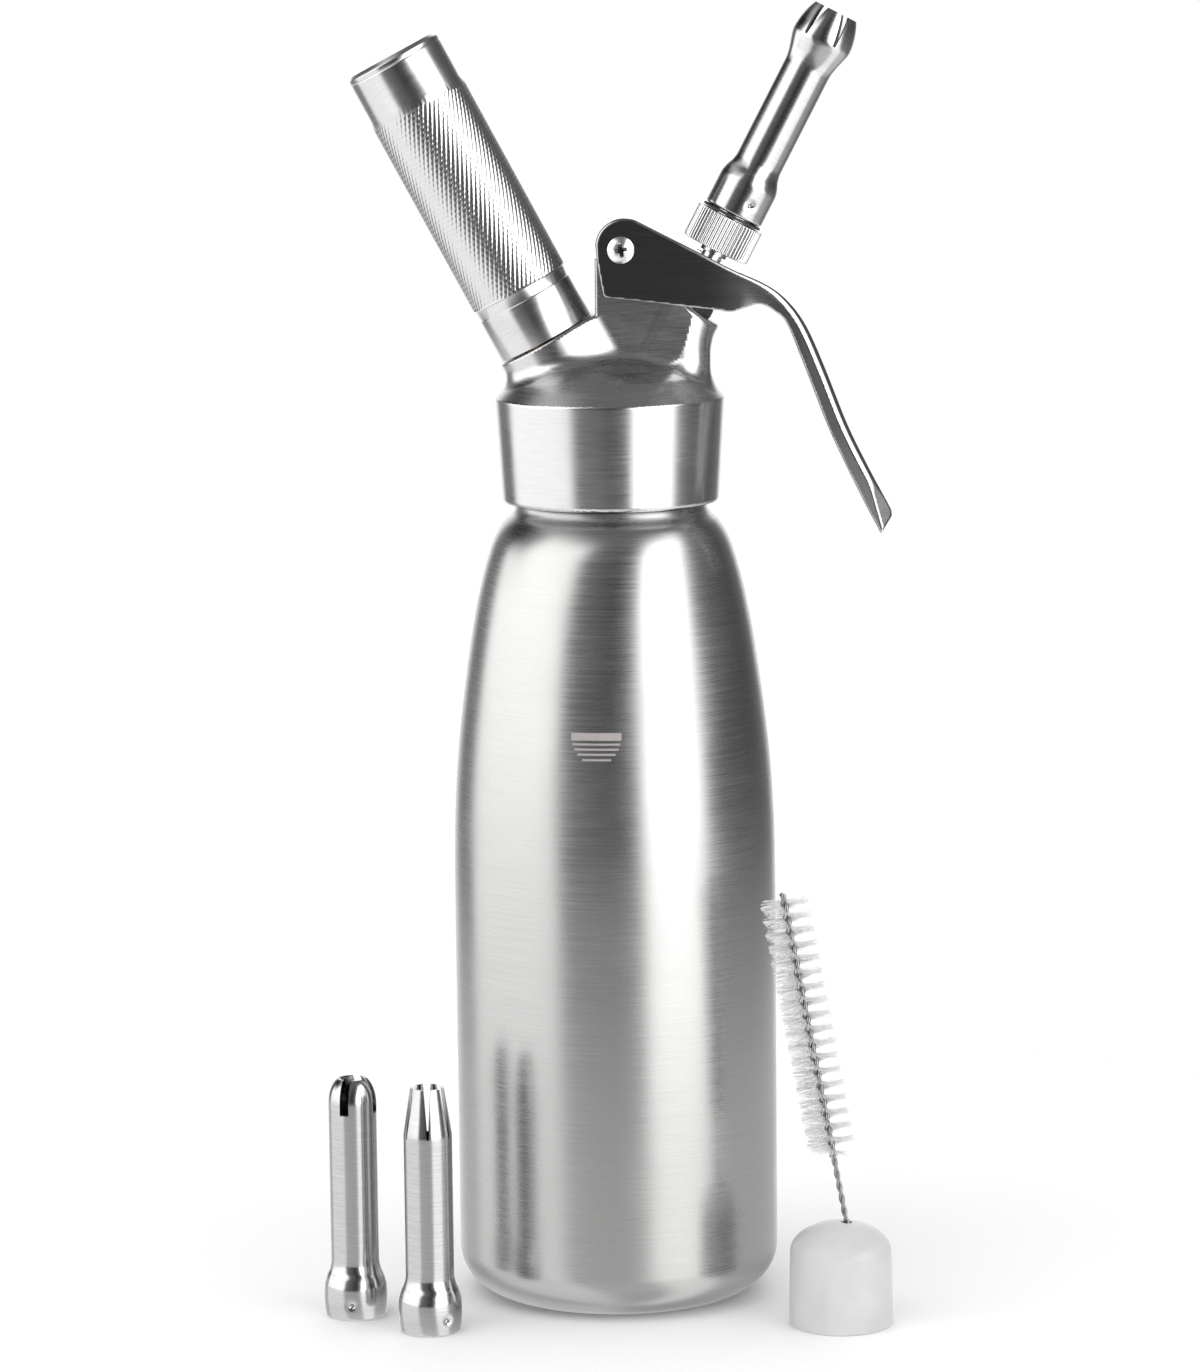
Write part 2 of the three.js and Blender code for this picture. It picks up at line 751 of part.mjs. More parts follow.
class SpringCurve extends THREE.Curve {
  constructor(radius, low, high, curls) {
    super();
    Object.assign(this, { radius, low, high, curls });
  }

  getPoint(share, target = new THREE.Vector3()) {
    const angle = 2 * Math.PI * this.curls * share;
    const height = this.low + (this.high - this.low) * share;
    return target.set(this.radius * Math.cos(angle), this.radius * Math.sin(angle), height);
  }
}

const springLow = seatGap + washerThickness + seatGap + springWireR;
const springHigh = stemCollarTop - stemCollarHeight - seatGap - springWireR;
const springR = stemR + seatGap + 3 * springWireR;

// Spring: an open coil between the washer and the stem's collar
function makeValveSpring() {
  const path = new SpringCurve(springR, springLow, springHigh, springCurls);
  const section = outline(arcPoints(0, 0, springWireR, 0, 360, springWireSides).slice(1));
  const steps = springCurls * springStepsPerCurl;
  return solid(new THREE.ExtrudeGeometry(section, { steps, extrudePath: path, bevelEnabled: false }));
}

// Adaptor: the knurled nut that screws on the stem, with a threaded spigot for the nozzle
function makeAdaptor() {
  const boreR = stemR + screwGap;
  const shelf = stemTop + 2 * seatGap + adaptorSealThickness;
  const body = turned([
    [boreR, adaptorNeckFoot],
    [adaptorNeckR, adaptorNeckFoot],
    [adaptorNeckR, adaptorFoot],
    [adaptorR - adaptorEdge, adaptorFoot],
    [adaptorR, adaptorFoot + adaptorEdge],
    [adaptorR, adaptorTop - adaptorEdge],
    [adaptorR - adaptorEdge, adaptorTop],
    [spigotR, adaptorTop],
    [spigotR, adaptorTop + spigotLength],
    [adaptorWaterR, adaptorTop + spigotLength],
    [adaptorWaterR, shelf],
    [boreR, shelf],
    [boreR, adaptorNeckFoot],
  ], smallSides);
  const spigotThread = threadRidge({
    wallR: spigotR, depth: spigotThreadDepth, width: stemThreadWidth, crest: stemThreadCrest,
    pitch: stemPitch, turns: stemThreadTurns, foot: adaptorTop + stemPitch, sides: smallSides,
  });
  const boreThread = threadRidge({
    wallR: boreR, depth: -adaptorThreadDepth, width: stemThreadWidth, crest: stemThreadCrest,
    pitch: stemPitch, turns: adaptorThreadTurns, foot: stemThreadShoulder + stemPitch, sides: smallSides,
  });
  return join(body, spigotThread, boreThread);
}

function makeAdaptorSeal() {
  const foot = stemTop + seatGap;
  return ring(adaptorSealBoreR, stemR, foot, foot + adaptorSealThickness, wireSides * 2);
}

const nozzleSealFoot = adaptorTop + seatGap;
const nozzleFoot = nozzleSealFoot + nozzleSealThickness + seatGap;

function makeNozzleSeal() {
  const innerR = spigotR + spigotThreadDepth + seatGap;
  return ring(innerR, nozzleSealR, nozzleSealFoot, nozzleSealFoot + nozzleSealThickness, smallSides);
}

// Upper part of each nozzle's outline, from tube to tip, as pairs of radius and height above its base
function tulipTip() {
  const swell = tulipSwellShares.map(([up, out]) => [
    nozzleTubeR + out * (tulipSwellR - nozzleTubeR),
    tulipSwellStart + up * (tulipSwellHeight - tulipSwellStart),
  ]);
  const close = tulipCloseShares.map(([up, inward]) => [
    tulipSwellR - inward * (tulipSwellR - tulipTipR),
    tulipSwellHeight + up * (tulipLength - tulipSwellHeight),
  ]);
  return [[nozzleTubeR, tulipSwellStart], ...swell, [tulipSwellR, tulipSwellHeight], ...close];
}

function domeTip() {
  const rise = domeLength - domeStart;
  const curve = arcPoints(0, 0, 1, 0, domeCurveEnd, 3);
  const [lastOut, lastUp] = curve[curve.length - 1];
  return curve.map(([out, up]) => [
    domeTipR + ((out - lastOut) / (1 - lastOut)) * (nozzleTubeR - domeTipR),
    domeStart + (up / lastUp) * rise,
  ]);
}

function starTip() {
  return [[nozzleTubeR, starTaperStart], [starTipR, starLength]];
}

function tipSlots(count, firstTurn, foot, tip, footWidth, tipWidth) {
  const shape = outline([
    [-footWidth / 2, foot], [footWidth / 2, foot],
    [tipWidth / 2, tip + cutOverrun], [-tipWidth / 2, tip + cutOverrun],
  ]);
  const reach = tulipSwellR + cutOverrun;
  const flat = new THREE.ExtrudeGeometry(shape, { depth: reach, bevelEnabled: false });
  const wedge = solid(flat.rotateX(Math.PI / 2));
  const turns = Array.from({ length: count }, (_, i) => firstTurn + (2 * Math.PI * i) / count);
  return turns.map((turn) => turnedAboutZ(wedge, turn));
}

function nozzleDimpleCuts(firstTurn) {
  const cone = new THREE.ConeGeometry(2 * nozzleDimpleR, 2 * nozzleDimpleDepth, wireSides);
  const dimple = solid(cone.translate(0, -nozzleBaseR, nozzleDimpleHeight));
  const step = (2 * Math.PI) / nozzleDimples;
  const turns = Array.from({ length: nozzleDimples }, (_, i) => firstTurn + i * step);
  return turns.map((turn) => turnedAboutZ(dimple, turn));
}

// A drawn nozzle: a wide base, a flare, a tube and the given tip, slotted and dimpled
function makeNozzle(tip, slots, dimpleTurn) {
  const outer = [
    [nozzleBaseR, 0], [nozzleBaseR, nozzleBaseLength],
    [nozzleTubeR, nozzleBaseLength + nozzleFlare], ...tip,
  ];
  const inner = outer.map(([radius, height]) => [radius - nozzleWall, height]).reverse();
  const shell = turned([...outer, ...inner, outer[0]], nozzleSides);
  return cut(shell, ...slots, ...nozzleDimpleCuts(dimpleTurn));
}

// The threaded ring that is crimped into a nozzle's base
function makeInsert() {
  const outerR = nozzleBaseR - nozzleWall - seatGap;
  const innerR = outerR - insertWall;
  const body = ring(innerR, outerR, seatGap, insertHeight, nozzleSides);
  const thread = threadRidge({
    wallR: innerR, depth: -insertThreadDepth, width: stemThreadWidth, crest: stemThreadCrest,
    pitch: stemPitch, turns: insertThreadTurns, foot: adaptorTop + 1.5 * stemPitch - nozzleFoot,
    sides: smallSides,
  });
  return join(body, thread);
}

// A line moved sideways by a distance, to the right of its run
function offsetLine(points, distance) {
  return points.map(([x, y], i) => {
    const [backX, backY] = points[Math.max(i - 1, 0)];
    const [nextX, nextY] = points[Math.min(i + 1, points.length - 1)];
    const run = new THREE.Vector2(nextX - backX, nextY - backY).normalize();
    return [x + run.y * distance, y - run.x * distance];
  });
}

const webFoot = stemCollarTop + leverGap;
const webTop = webFoot + leverSheet;

function fromHinge(shares) {
  return shares.map(([along, down]) => [hingeX + along * leverReach, hingeZ - down * leverDrop]);
}

// The lever's outer line, seen from the front: round the hinge, flat over the valve and down the handle
function leverBack() {
  const up = new THREE.Vector2(Math.sin(valveTilt), Math.cos(valveTilt));
  const axis = new THREE.Vector2(valveOrigin.x, valveOrigin.z).addScaledVector(up, webTop);
  const startR = axis.clone().sub(new THREE.Vector2(hingeX, hingeZ)).dot(up);
  const upAngle = Math.PI / 2 - valveTilt;
  const wrap = Array.from({ length: leverWrapSteps + 1 }, (_, i) => {
    const angle = Math.PI + ((upAngle - Math.PI) * i) / leverWrapSteps;
    const radius = leverWrapR + ((startR - leverWrapR) * i) / leverWrapSteps;
    return [hingeX + radius * Math.cos(angle), hingeZ + radius * Math.sin(angle)];
  });
  const flatEnd = axis.addScaledVector(new THREE.Vector2(up.y, -up.x), leverFlat);
  return [...wrap, [flatEnd.x, flatEnd.y], ...fromHinge(leverBackShares)];
}

// Plan of the lever from above, full width at the hinge and narrow along the handle
function leverPlan(inset) {
  const start = valveOrigin.x + valveBossR / 2;
  const left = hingeX - leverWrapR - leverHalfWidth;
  const right = hingeX + leverReach + cutOverrun;
  const side = [
    [left, leverHalfWidth - inset], [start, leverHalfWidth - inset],
    [start + handleTaper, handleHalfWidth - inset], [right, handleTipHalfWidth - inset],
  ];
  const mirrored = side.map(([x, y]) => [x, -y]).reverse();
  return plateXY(outline([...side, ...mirrored]), hingeZ - 2 * leverDrop, hingeZ + leverDrop);
}

// Lever: pressed from sheet into a channel that straddles the post, with a hole for the stem
function makeLever() {
  const back = leverBack();
  const belly = fromHinge(leverBellyShares);
  const side = outline([...back, ...fromHinge(leverTipShares), ...belly.slice().reverse()]);
  const innerBack = offsetLine(back, leverSheet);
  const innerBelly = offsetLine(belly, cutOverrun);
  const leftEnd = [[hingeX - 2 * leverWrapR, hingeZ]];
  const hollow = outline([...innerBack, ...innerBelly.reverse(), ...leftEnd]);
  const channel = plateXZ(hollow, leverHalfWidth).intersect(leverPlan(leverSheet));
  const pressed = cut(plateXZ(side, leverHalfWidth).intersect(leverPlan(0)), channel);
  const slotR = stemR + leverSlotClearance;
  const slot = new THREE.Shape();
  slot.absarc(0, 0, slotR, -Math.PI / 2, Math.PI / 2, false);
  slot.absarc(-leverSlotRun, 0, slotR, Math.PI / 2, (3 * Math.PI) / 2, false);
  const stemSlot = placed(plateXY(slot, webFoot - cutOverrun, webTop + cutOverrun), valveLine);
  const pinBore = crossDrill(hingePinR + runningGap, leverHalfWidth + cutOverrun, smallSides);
  return cut(pressed, stemSlot, pinBore);
}

// Hinge screw: a domed cross-head screw through both cheeks and the post, with a cap nut behind
function makeHingeScrew() {
  const headFoot = leverHalfWidth + seatGap;
  const body = turned([
    [0, -headFoot - hingeNutHeight],
    [hingePinR, -headFoot - hingeNutHeight],
    [hingePinR, headFoot],
    [hingeHeadR, headFoot],
    [hingeHeadR, headFoot + hingeHeadRim],
    [hingeHeadCrownR, headFoot + hingeHeadHeight],
    [0, headFoot + hingeHeadHeight],
  ], smallSides);
  const [half, reach] = [hingeCrossWidth / 2, hingeCrossLength / 2];
  const quarter = [[half, half], [half, reach], [-half, reach], [-half, half], [-reach, half]];
  const cross = outline([...quarter, ...quarter.map(([x, y]) => [-x, -y])]);
  const top = headFoot + hingeHeadHeight;
  const recess = plateXY(cross, top - hingeCrossDepth, top + cutOverrun);
  const toFront = new THREE.Matrix4().makeRotationX(Math.PI / 2).setPosition(hingeX, 0, hingeZ);
  return cut(body, recess).transform(toFront.elements);
}

function makeHingeNut() {
  const foot = leverHalfWidth + seatGap;
  const boreR = hingePinR + screwGap;
  const end = foot + hingeNutHeight + 2 * seatGap;
  const body = turned([
    [boreR, foot], [hingeNutR, foot], [hingeNutR, end], [hingeNutR - skirtEdge, end + skirtEdge],
    [0, end + skirtEdge], [0, end], [boreR, end], [boreR, foot],
  ], wireSides);
  const toBack = new THREE.Matrix4().makeRotationX(-Math.PI / 2).setPosition(hingeX, 0, hingeZ);
  return body.transform(toBack.elements);
}

const brushLine = new THREE.Group();
brushLine.position.copy(brushFoot);
brushLine.rotation.y = brushTilt;
dispenser.add(brushLine);

// Cap: a moulded dome, open below, with a hole on top that the brush leans in
function makeBrushCap() {
  const rise = capHeight - capSide;
  const arch = (inset) => arcPoints(0, 0, 1, 0, 90, 4).map(([out, up]) => [
    out * (capTopR - inset), capSide + up * (rise - inset),
  ]);
  const shell = turned([
    [capR - capWall, 0], [capR, 0], ...arch(0), ...arch(capWall).reverse(), [capR - capWall, 0],
  ], nozzleSides);
  const hole = placed(rod(capHoleR, capSide, capHeight + 3 * cutOverrun, smallSides), brushLine);
  return cut(shell.translate(capPlace.toArray()), hole);
}

// Bristles: straight nylon strands in pairs that turn evenly up the core, fused to it
function makeBristles() {
  const coreFoot = brushLength - coreLength;
  const strands = [];
  for (let i = 0; i < 2 * bristlePairs; i += 1) {
    const height = coreFoot + wireR + (bristleZone * Math.floor(i / 2)) / bristlePairs;
    const angle = (2 * Math.PI * height) / bristlePitch + Math.PI * (i % 2);
    const strand = new THREE.ConeGeometry(bristleThickness, bristleR - bristleRootR, bristleSides);
    strand.translate(0, (bristleR + bristleRootR) / 2, 0).rotateZ(angle).translate(0, 0, height);
    strands.push(strand);
  }
  const core = rod(coreR, coreFoot, brushLength, coreSides);
  return core.add(wasm.Manifold.compose(strands.map(solid)));
}

function makeBrushWire() {
  return rod(wireR, 0, brushLength - coreLength - seatGap, wireSides);
}

addPart(dispenser, 'bottle', geometryOf(makeBottle()), brushedSteel);
addPart(dispenser, 'head_gasket', geometryOf(makeHeadGasket()), blackRubber);
addPart(dispenser, 'head_casting', geometryOf(makeHeadCasting()), polishedAluminium);
addPart(chargerLine, 'charger_port', geometryOf(makeChargerPort()), brass);
addPart(chargerLine, 'piercing_pin', geometryOf(makePiercingPin()), polishedSteel);
addPart(chargerLine, 'port_gasket', geometryOf(makePortGasket()), blackRubber);
addPart(chargerLine, 'charger', geometryOf(makeCharger()), brushedSteel);
addPart(chargerLine, 'charger_holder', geometryOf(makeChargerHolder()), knurledSteel);
addPart(valveLine, 'valve_gland', geometryOf(makeValveGland()), brass);
addPart(valveLine, 'stem_o_ring', geometryOf(makeStemORing()), blackRubber);
addPart(valveLine, 'valve_washer', geometryOf(makeValveWasher()), blackRubber);
addPart(valveLine, 'valve_stem', geometryOf(makeValveStem()), polishedSteel);
addPart(valveLine, 'valve_seal', geometryOf(makeValveSeal()), blackRubber);
addPart(valveLine, 'valve_spring', geometryOf(makeValveSpring()), polishedSteel);
addPart(dispenser, 'lever', geometryOf(makeLever()), polishedSteel);
addPart(dispenser, 'hinge_screw', geometryOf(makeHingeScrew()), polishedSteel);
addPart(dispenser, 'hinge_nut', geometryOf(makeHingeNut()), polishedSteel);
addPart(valveLine, 'adaptor', geometryOf(makeAdaptor()), knurledSteel);
addPart(valveLine, 'adaptor_seal', geometryOf(makeAdaptorSeal()), blackRubber);
addPart(valveLine, 'nozzle_seal', geometryOf(makeNozzleSeal()), blackRubber);

function addNozzle(parent, name, place, tip, slots, dimpleTurn) {
  const holder = new THREE.Group();
  holder.position.copy(place);
  parent.add(holder);
  addPart(holder, `${name}_nozzle`, geometryOf(makeNozzle(tip, slots, dimpleTurn)), polishedSteel);
  addPart(holder, `${name}_insert`, geometryOf(makeInsert()), brass);
}

const tulipCuts = tipSlots(
  tulipSlots, tulipSlotTurn, tulipSlotFoot, tulipLength, tulipSlotFootWidth, tulipSlotTipWidth,
);
const domeCuts = tipSlots(domeSlots, domeSlotTurn, domeSlotFoot, domeLength, domeSlotWidth, domeSlotWidth);
const starCuts = tipSlots(
  starSlots, starSlotTurn, starSlotFoot, starLength, starSlotFootWidth, starSlotTipWidth,
);
addNozzle(valveLine, 'tulip', new THREE.Vector3(0, 0, nozzleFoot), tulipTip(), tulipCuts, 0);
addNozzle(dispenser, 'dome', domeNozzlePlace, domeTip(), domeCuts, THREE.MathUtils.degToRad(-5));
addNozzle(dispenser, 'star', starNozzlePlace, starTip(), starCuts, THREE.MathUtils.degToRad(35));

addPart(dispenser, 'brush_cap', geometryOf(makeBrushCap()), whitePlastic);
addPart(brushLine, 'brush_wire', geometryOf(makeBrushWire()), polishedSteel);
addPart(brushLine, 'brush_bristles', geometryOf(makeBristles()), whiteNylon);

export default dispenser;
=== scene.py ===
import math

import bmesh
import bpy
import numpy as np
from mathutils import Matrix, Vector


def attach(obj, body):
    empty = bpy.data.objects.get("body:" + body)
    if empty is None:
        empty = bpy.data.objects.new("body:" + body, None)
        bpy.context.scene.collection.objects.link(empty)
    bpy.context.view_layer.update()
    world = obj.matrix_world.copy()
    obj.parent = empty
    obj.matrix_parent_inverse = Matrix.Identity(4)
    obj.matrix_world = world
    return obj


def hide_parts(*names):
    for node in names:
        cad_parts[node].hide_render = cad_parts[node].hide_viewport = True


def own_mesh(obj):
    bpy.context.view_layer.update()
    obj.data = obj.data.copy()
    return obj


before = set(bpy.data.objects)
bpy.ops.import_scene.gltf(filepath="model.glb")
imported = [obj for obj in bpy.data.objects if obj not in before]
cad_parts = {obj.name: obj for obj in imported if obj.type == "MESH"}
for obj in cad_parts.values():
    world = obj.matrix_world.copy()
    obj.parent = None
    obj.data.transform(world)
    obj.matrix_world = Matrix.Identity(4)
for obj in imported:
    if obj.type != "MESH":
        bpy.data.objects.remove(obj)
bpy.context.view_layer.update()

# Camera, floor and light. The camera stands 1.42 m in front of the bottle and looks slightly down. The floor
# is a small pale disc. The light is a white room with two bright side panels and dark gaps between them,
# which polished steel shows as upright bands.
mm = 0.001
white = (1, 1, 1, 1)
scene = bpy.context.scene
scene.view_settings.view_transform = "Standard"


class Term:
    """An output of a node, which can stand in sums. An index picks another output of the same node."""

    def __init__(self, socket):
        self.socket, self.tree = socket, socket.id_data

    def __getitem__(self, output):
        return Term(self.socket.node.outputs[output])

    def __add__(self, other):
        return calculated("ADD", self, other)

    def __sub__(self, other):
        return calculated("SUBTRACT", self, other)

    def __mul__(self, other):
        return calculated("MULTIPLY", self, other)

    def __truediv__(self, other):
        return calculated("DIVIDE", self, other)


def plug(into, sockets):
    """Fills a node's named or numbered inputs, each with a value or a link."""
    for name, value in sockets.items():
        if isinstance(value, Term):
            value.tree.links.new(value.socket, into.inputs[name])
        else:
            into.inputs[name].default_value = value


def node(tree, kind, sockets=None, **settings):
    """The first output of a new node. The kind of a shader node is given without its start, ShaderNode."""
    made = tree.nodes.new(kind if "Node" in kind else "ShaderNode" + kind)
    for name, value in settings.items():
        setattr(made, name, value)
    plug(made, sockets or {})
    return Term(made.outputs[0]) if made.outputs else None


def calculated(operation, *values):
    """The result of a math node on numbers and outputs."""
    tree = next(value.tree for value in values if isinstance(value, Term))
    return node(tree, "Math", dict(enumerate(values)), operation=operation)


def ranged(value, low, high, start=0.3, end=0.7, **settings):
    """A value from low to high as the given one goes from start to end."""
    return node(value.tree, "MapRange", {0: value, 1: start, 2: end, 3: low, 4: high}, **settings)


def mixed(share, first, second):
    """A colour between two."""
    return node(share.tree, "Mix", {0: share, 6: first, 7: second}, data_type="RGBA")[2]


def scaled(vector, share):
    return node(vector.tree, "VectorMath", {0: vector, "Scale": share}, operation="SCALE")


def empty_tree(owner):
    """The node tree of a material or the world, with no nodes in it."""
    owner.use_nodes = True
    owner.node_tree.nodes.clear()
    return owner.node_tree


def placed(name, data):
    """A new object in the scene."""
    made = bpy.data.objects.new(name, data)
    scene.collection.objects.link(made)
    return made


def raw_mesh(points, faces):
    """A mesh from points in millimetres."""
    mesh = bpy.data.meshes.new("raw")
    mesh.from_pydata(np.array(points) * mm, [], faces)
    return mesh


def disc(name, radius, height, material):
    """A flat disc that belongs to the studio, with its sizes in millimetres."""
    sides = 96
    ring = [2 * math.pi * i / sides for i in range(sides)]
    mesh = raw_mesh([(radius * math.cos(a), radius * math.sin(a), height) for a in ring], [range(sides)])
    mesh.materials.append(material)
    made = placed(name, mesh)
    return made


camera_data = bpy.data.cameras.new("camera")
camera_data.sensor_fit = "VERTICAL"
camera_data.sensor_height = 36
camera_data.lens = 132.24
camera_place, camera_down, camera_roll = (-3.72, -1418.1, 391.2), math.radians(8.68), math.radians(-0.65)
camera = placed("camera", camera_data)
camera.matrix_world = (
    Matrix.Translation(Vector(camera_place) * mm)
    @ Matrix.Rotation(math.pi / 2 - camera_down, 4, "X")
    @ Matrix.Rotation(camera_roll, 4, "Z")
)
scene.camera = camera

# Brightness of the room round the object, by the angle from the camera's side, in degrees to the right
room_bands = [
    (-180, 1.7), (-162, 1.5), (-150, 0.3), (-128, 0.2), (-119, 2.3), (-48, 2.3), (-37, 0.22), (-14, 0.16),
    (-6, 0.06), (5, 0.06), (15, 0.18), (24, 3.7), (60, 3.7), (74, 0.35), (87, 0.16), (125, 0.12), (150, 0.25),
    (162, 1.5), (180, 1.7),
]
room_ceiling, ceiling_glow, table_glow, floor_glow, band_lean = 0.2, 0.9, 0.22, 0.6, 0.8
scene.world = bpy.data.worlds.new("studio")
room = empty_tree(scene.world)
axes = node(room, "SeparateXYZ", {0: node(room, "TexCoord")["Generated"]})
across, ahead, up = axes["X"], axes["Y"], axes["Z"]
level_angle = calculated("ARCTAN2", across, ahead * -1.0)
azimuth = calculated("MAXIMUM", level_angle + up * up * -band_lean, -math.pi)
bands = node(room, "ValToRGB", {0: calculated("MULTIPLY_ADD", azimuth, 0.5 / math.pi, 0.5)})
ramp = bands.socket.node.color_ramp
ramp.interpolation = "EASE"
for i, (angle, level) in enumerate(room_bands):
    place = (angle + 180) / 360
    stop = ramp.elements[i] if i < 2 else ramp.elements.new(place)
    stop.position = place
    stop.color = (level, level, level, 1)
shade = ranged(azimuth, 0.0, 1.0, math.radians(-95), math.radians(-112)) * ranged(up, 0.0, 0.9, 0.2, 0.4)
walls = scaled(bands, ranged(up, 0.42, 1.0, -0.5, 0.12) * calculated("SUBTRACT", 1.0, shade))
low_glow = ranged(up, table_glow, 0.0, -0.4, -0.05) + ranged(up, floor_glow, 0.0, -0.6, -0.4)
walls = node(room, "VectorMath", {0: walls, 1: low_glow})
overhead = ranged(up, 0.0, 1.0, 0.6, 0.84, interpolation_type="SMOOTHSTEP")
reflected = mixed(overhead, walls, ranged(across, 0.0, ceiling_glow, -0.3, -0.7) + room_ceiling)
ray = node(room, "LightPath")
seen = mixed(ray["Is Camera Ray"], mixed(ray["Is Diffuse Ray"], reflected, white), white)
node(room, "OutputWorld", {"Surface": node(room, "Background", {"Color": seen})})

floor_material = bpy.data.materials.new("floor")
floor_material.use_nodes = True
plug(floor_material.node_tree.nodes["Principled BSDF"], {
    "Base Color": (0.94, 0.94, 0.94, 1), "Roughness": 0.6, "Specular IOR Level": 0.2})
floor = disc("floor", 320, -0.02, floor_material)
floor.visible_glossy = False

# What the metal shows of the table, as a painted reflection: a half see-through glow, with a painted shadow
# that makes it darker near the bottle's foot, and that fades away
glow_material = bpy.data.materials.new("table_glow")
glow_material.cycles.emission_sampling = "NONE"
glow_tree = empty_tree(glow_material)
glow_place = node(glow_tree, "TexCoord")["Object"]
glow_away = node(glow_tree, "VectorMath", {0: glow_place}, operation="LENGTH")["Value"]
# Painted shadow: the glow is dimmer within about 75 mm of the bottle's axis, as if the foot shaded the table.
glow_strength_painted_shadow = ranged(glow_away, 0.3, 1.15, 0.036, 0.075)
glow_light = node(glow_tree, "Emission", {"Color": white, "Strength": glow_strength_painted_shadow})
glow_mix = node(glow_tree, "MixShader", {
    0: ranged(glow_away, 0.55, 0.0, 0.3, 0.8), 1: node(glow_tree, "BsdfTransparent"), 2: glow_light})
node(glow_tree, "OutputMaterial", {"Surface": glow_mix})
glow = disc("table_glow", 800, -0.04, glow_material)
glow.visible_camera = glow.visible_diffuse = glow.visible_shadow = glow.visible_transmission = False

lamp_data = bpy.data.lights.new("soft_lamp", "AREA")
lamp_data.shape = "DISK"
lamp_data.size = 0.8
lamp_data.energy = 2.2
lamp = placed("soft_lamp", lamp_data)
lamp.location = (-0.5, -0.4, 1.1)
lamp.rotation_euler = (Vector((0, 0, 0.1)) - lamp.location).to_track_quat("-Z", "Y").to_euler()
lamp.visible_glossy = False

# Bottle. Stainless steel, drawn in one piece with a rounded foot and a long shoulder, brushed round and
# round, with a rolled thread on its neck. A plain level mark of stepped bars is etched on its front.
bottle_r, bottle_wall = 45.8, 1.0
bottle_foot_r, bottle_dish_r, bottle_dish = 13.0, 30.0, 1.2
neck_r, neck_foot, bottle_top = 26.4, 228.0, 247.0
bottle_shoulder = [
    (45.8, 125.0), (45.3, 141.5), (44.05, 158.9), (41.95, 176.4), (39.95, 189.9), (37.65, 202.0),
    (35.4, 210.9), (33.2, 217.4), (30.6, 221.9), (27.6, 225.0), (26.5, 228.0),
]
# Each bar of the level mark: its middle height, its height and its width
level_bars = [
    (167.0, 2.0, 13.8), (164.9, 0.45, 13.2), (163.5, 0.45, 12.2), (162.1, 0.45, 10.5), (160.6, 0.45, 8.0),
]
level_mark_x = -4.9


def arc(centre_r, centre_z, radius, start, end, steps):
    """Points of an arc in a profile, with its angles in degrees."""
    angles = np.radians(np.linspace(start, end, steps + 1))
    return [(centre_r + radius * math.cos(a), centre_z + radius * math.sin(a)) for a in angles]


def flowing(points, steps):
    """A smooth line through the points, with so many steps between each two."""
    p = np.array(points, float)
    p = np.vstack([2 * p[0] - p[1], p, 2 * p[-1] - p[-2]])
    line = []
    for before, start, end, after in zip(p, p[1:], p[2:], p[3:]):
        for t in np.arange(steps) / steps:
            line.append(
                0.5 * (2 * start + (end - before) * t + (2 * before - 5 * start + 4 * end - after) * t * t
                       + (3 * start - before - 3 * end + after) * t ** 3)
            )
    return [tuple(q) for q in line] + [tuple(p[-2])]


def eased(profile, radius, steps=3, closed=False):
    """The profile with its corners rounded to the radius, or to less where their sides are short."""
    nearly_straight = math.radians(168)
    p = [np.array(q, float) for q in profile]
    out = []
    for i, corner in enumerate(p):
        if not closed and i in (0, len(p) - 1):
            out.append(tuple(corner))
            continue
        before, after = p[i - 1] - corner, p[(i + 1) % len(p)] - corner
        lengths = np.linalg.norm(before), np.linalg.norm(after)
        before, after = before / lengths[0], after / lengths[1]
        half = math.acos(max(-1, min(1, float(before @ after)))) / 2
        if half > nearly_straight / 2:
            out.append(tuple(corner))
            continue
        reach = min(radius / math.tan(half), 0.45 * min(lengths))
        start, end = corner + before * reach, corner + after * reach
        for t in np.linspace(0, 1, steps + 1):
            out.append(tuple((1 - t) ** 2 * start + 2 * t * (1 - t) * corner + t ** 2 * end))
    return out


def turned(profile, sides, closed=False, twist=None):
    """Points and faces of a turned shape, whose profile runs up its outside and down its inside."""
    if closed:
        profile = list(profile) + [profile[0]]
    r, z = np.array(profile, float).T
    turn = np.zeros(len(z)) if twist is None else twist(z)
    angle = 2 * math.pi * np.arange(sides) / sides
    theta = angle[None, :] + turn[:, None]
    rings = np.stack([r[:, None] * np.cos(theta), r[:, None] * np.sin(theta), z[:, None] + 0 * theta], -1)
    i, j = np.meshgrid(np.arange(len(z) - 1), np.arange(sides), indexing="ij")
    k = (j + 1) % sides
    quads = np.stack([i * sides + j, i * sides + k, (i + 1) * sides + k, (i + 1) * sides + j], -1)
    return rings.reshape(-1, 3), quads.reshape(-1, 4).tolist()


def joined(*meshes, rework=None):
    """One mesh from several, with a change made to it on the way."""
    work = bmesh.new()
    for mesh in meshes:
        work.from_mesh(mesh)
    if rework:
        rework(work)
    whole = bpy.data.meshes.new("joined")
    work.to_mesh(whole)
    work.free()
    return whole


def plain_mesh(points, faces):
    """A clean mesh from points in millimetres: doubled points at poles and closing rings are merged."""
    return joined(raw_mesh(points, faces),
                  rework=lambda work: bmesh.ops.remove_doubles(work, verts=work.verts, dist=1e-6))


def show(name, mesh, body, finish, solid, crease=32):
    """A shown piece: smooth between creases, in its finish, riding on its body in place of its CAD solid."""
    mesh.name = name
    mesh.polygons.foreach_set("use_smooth", [True] * len(mesh.polygons))
    mesh.set_sharp_from_angle(angle=math.radians(crease))
    mesh.materials.clear()
    mesh.materials.append(finish)
    piece = placed(name, mesh)
    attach(piece, body)
    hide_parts(solid)
    return piece


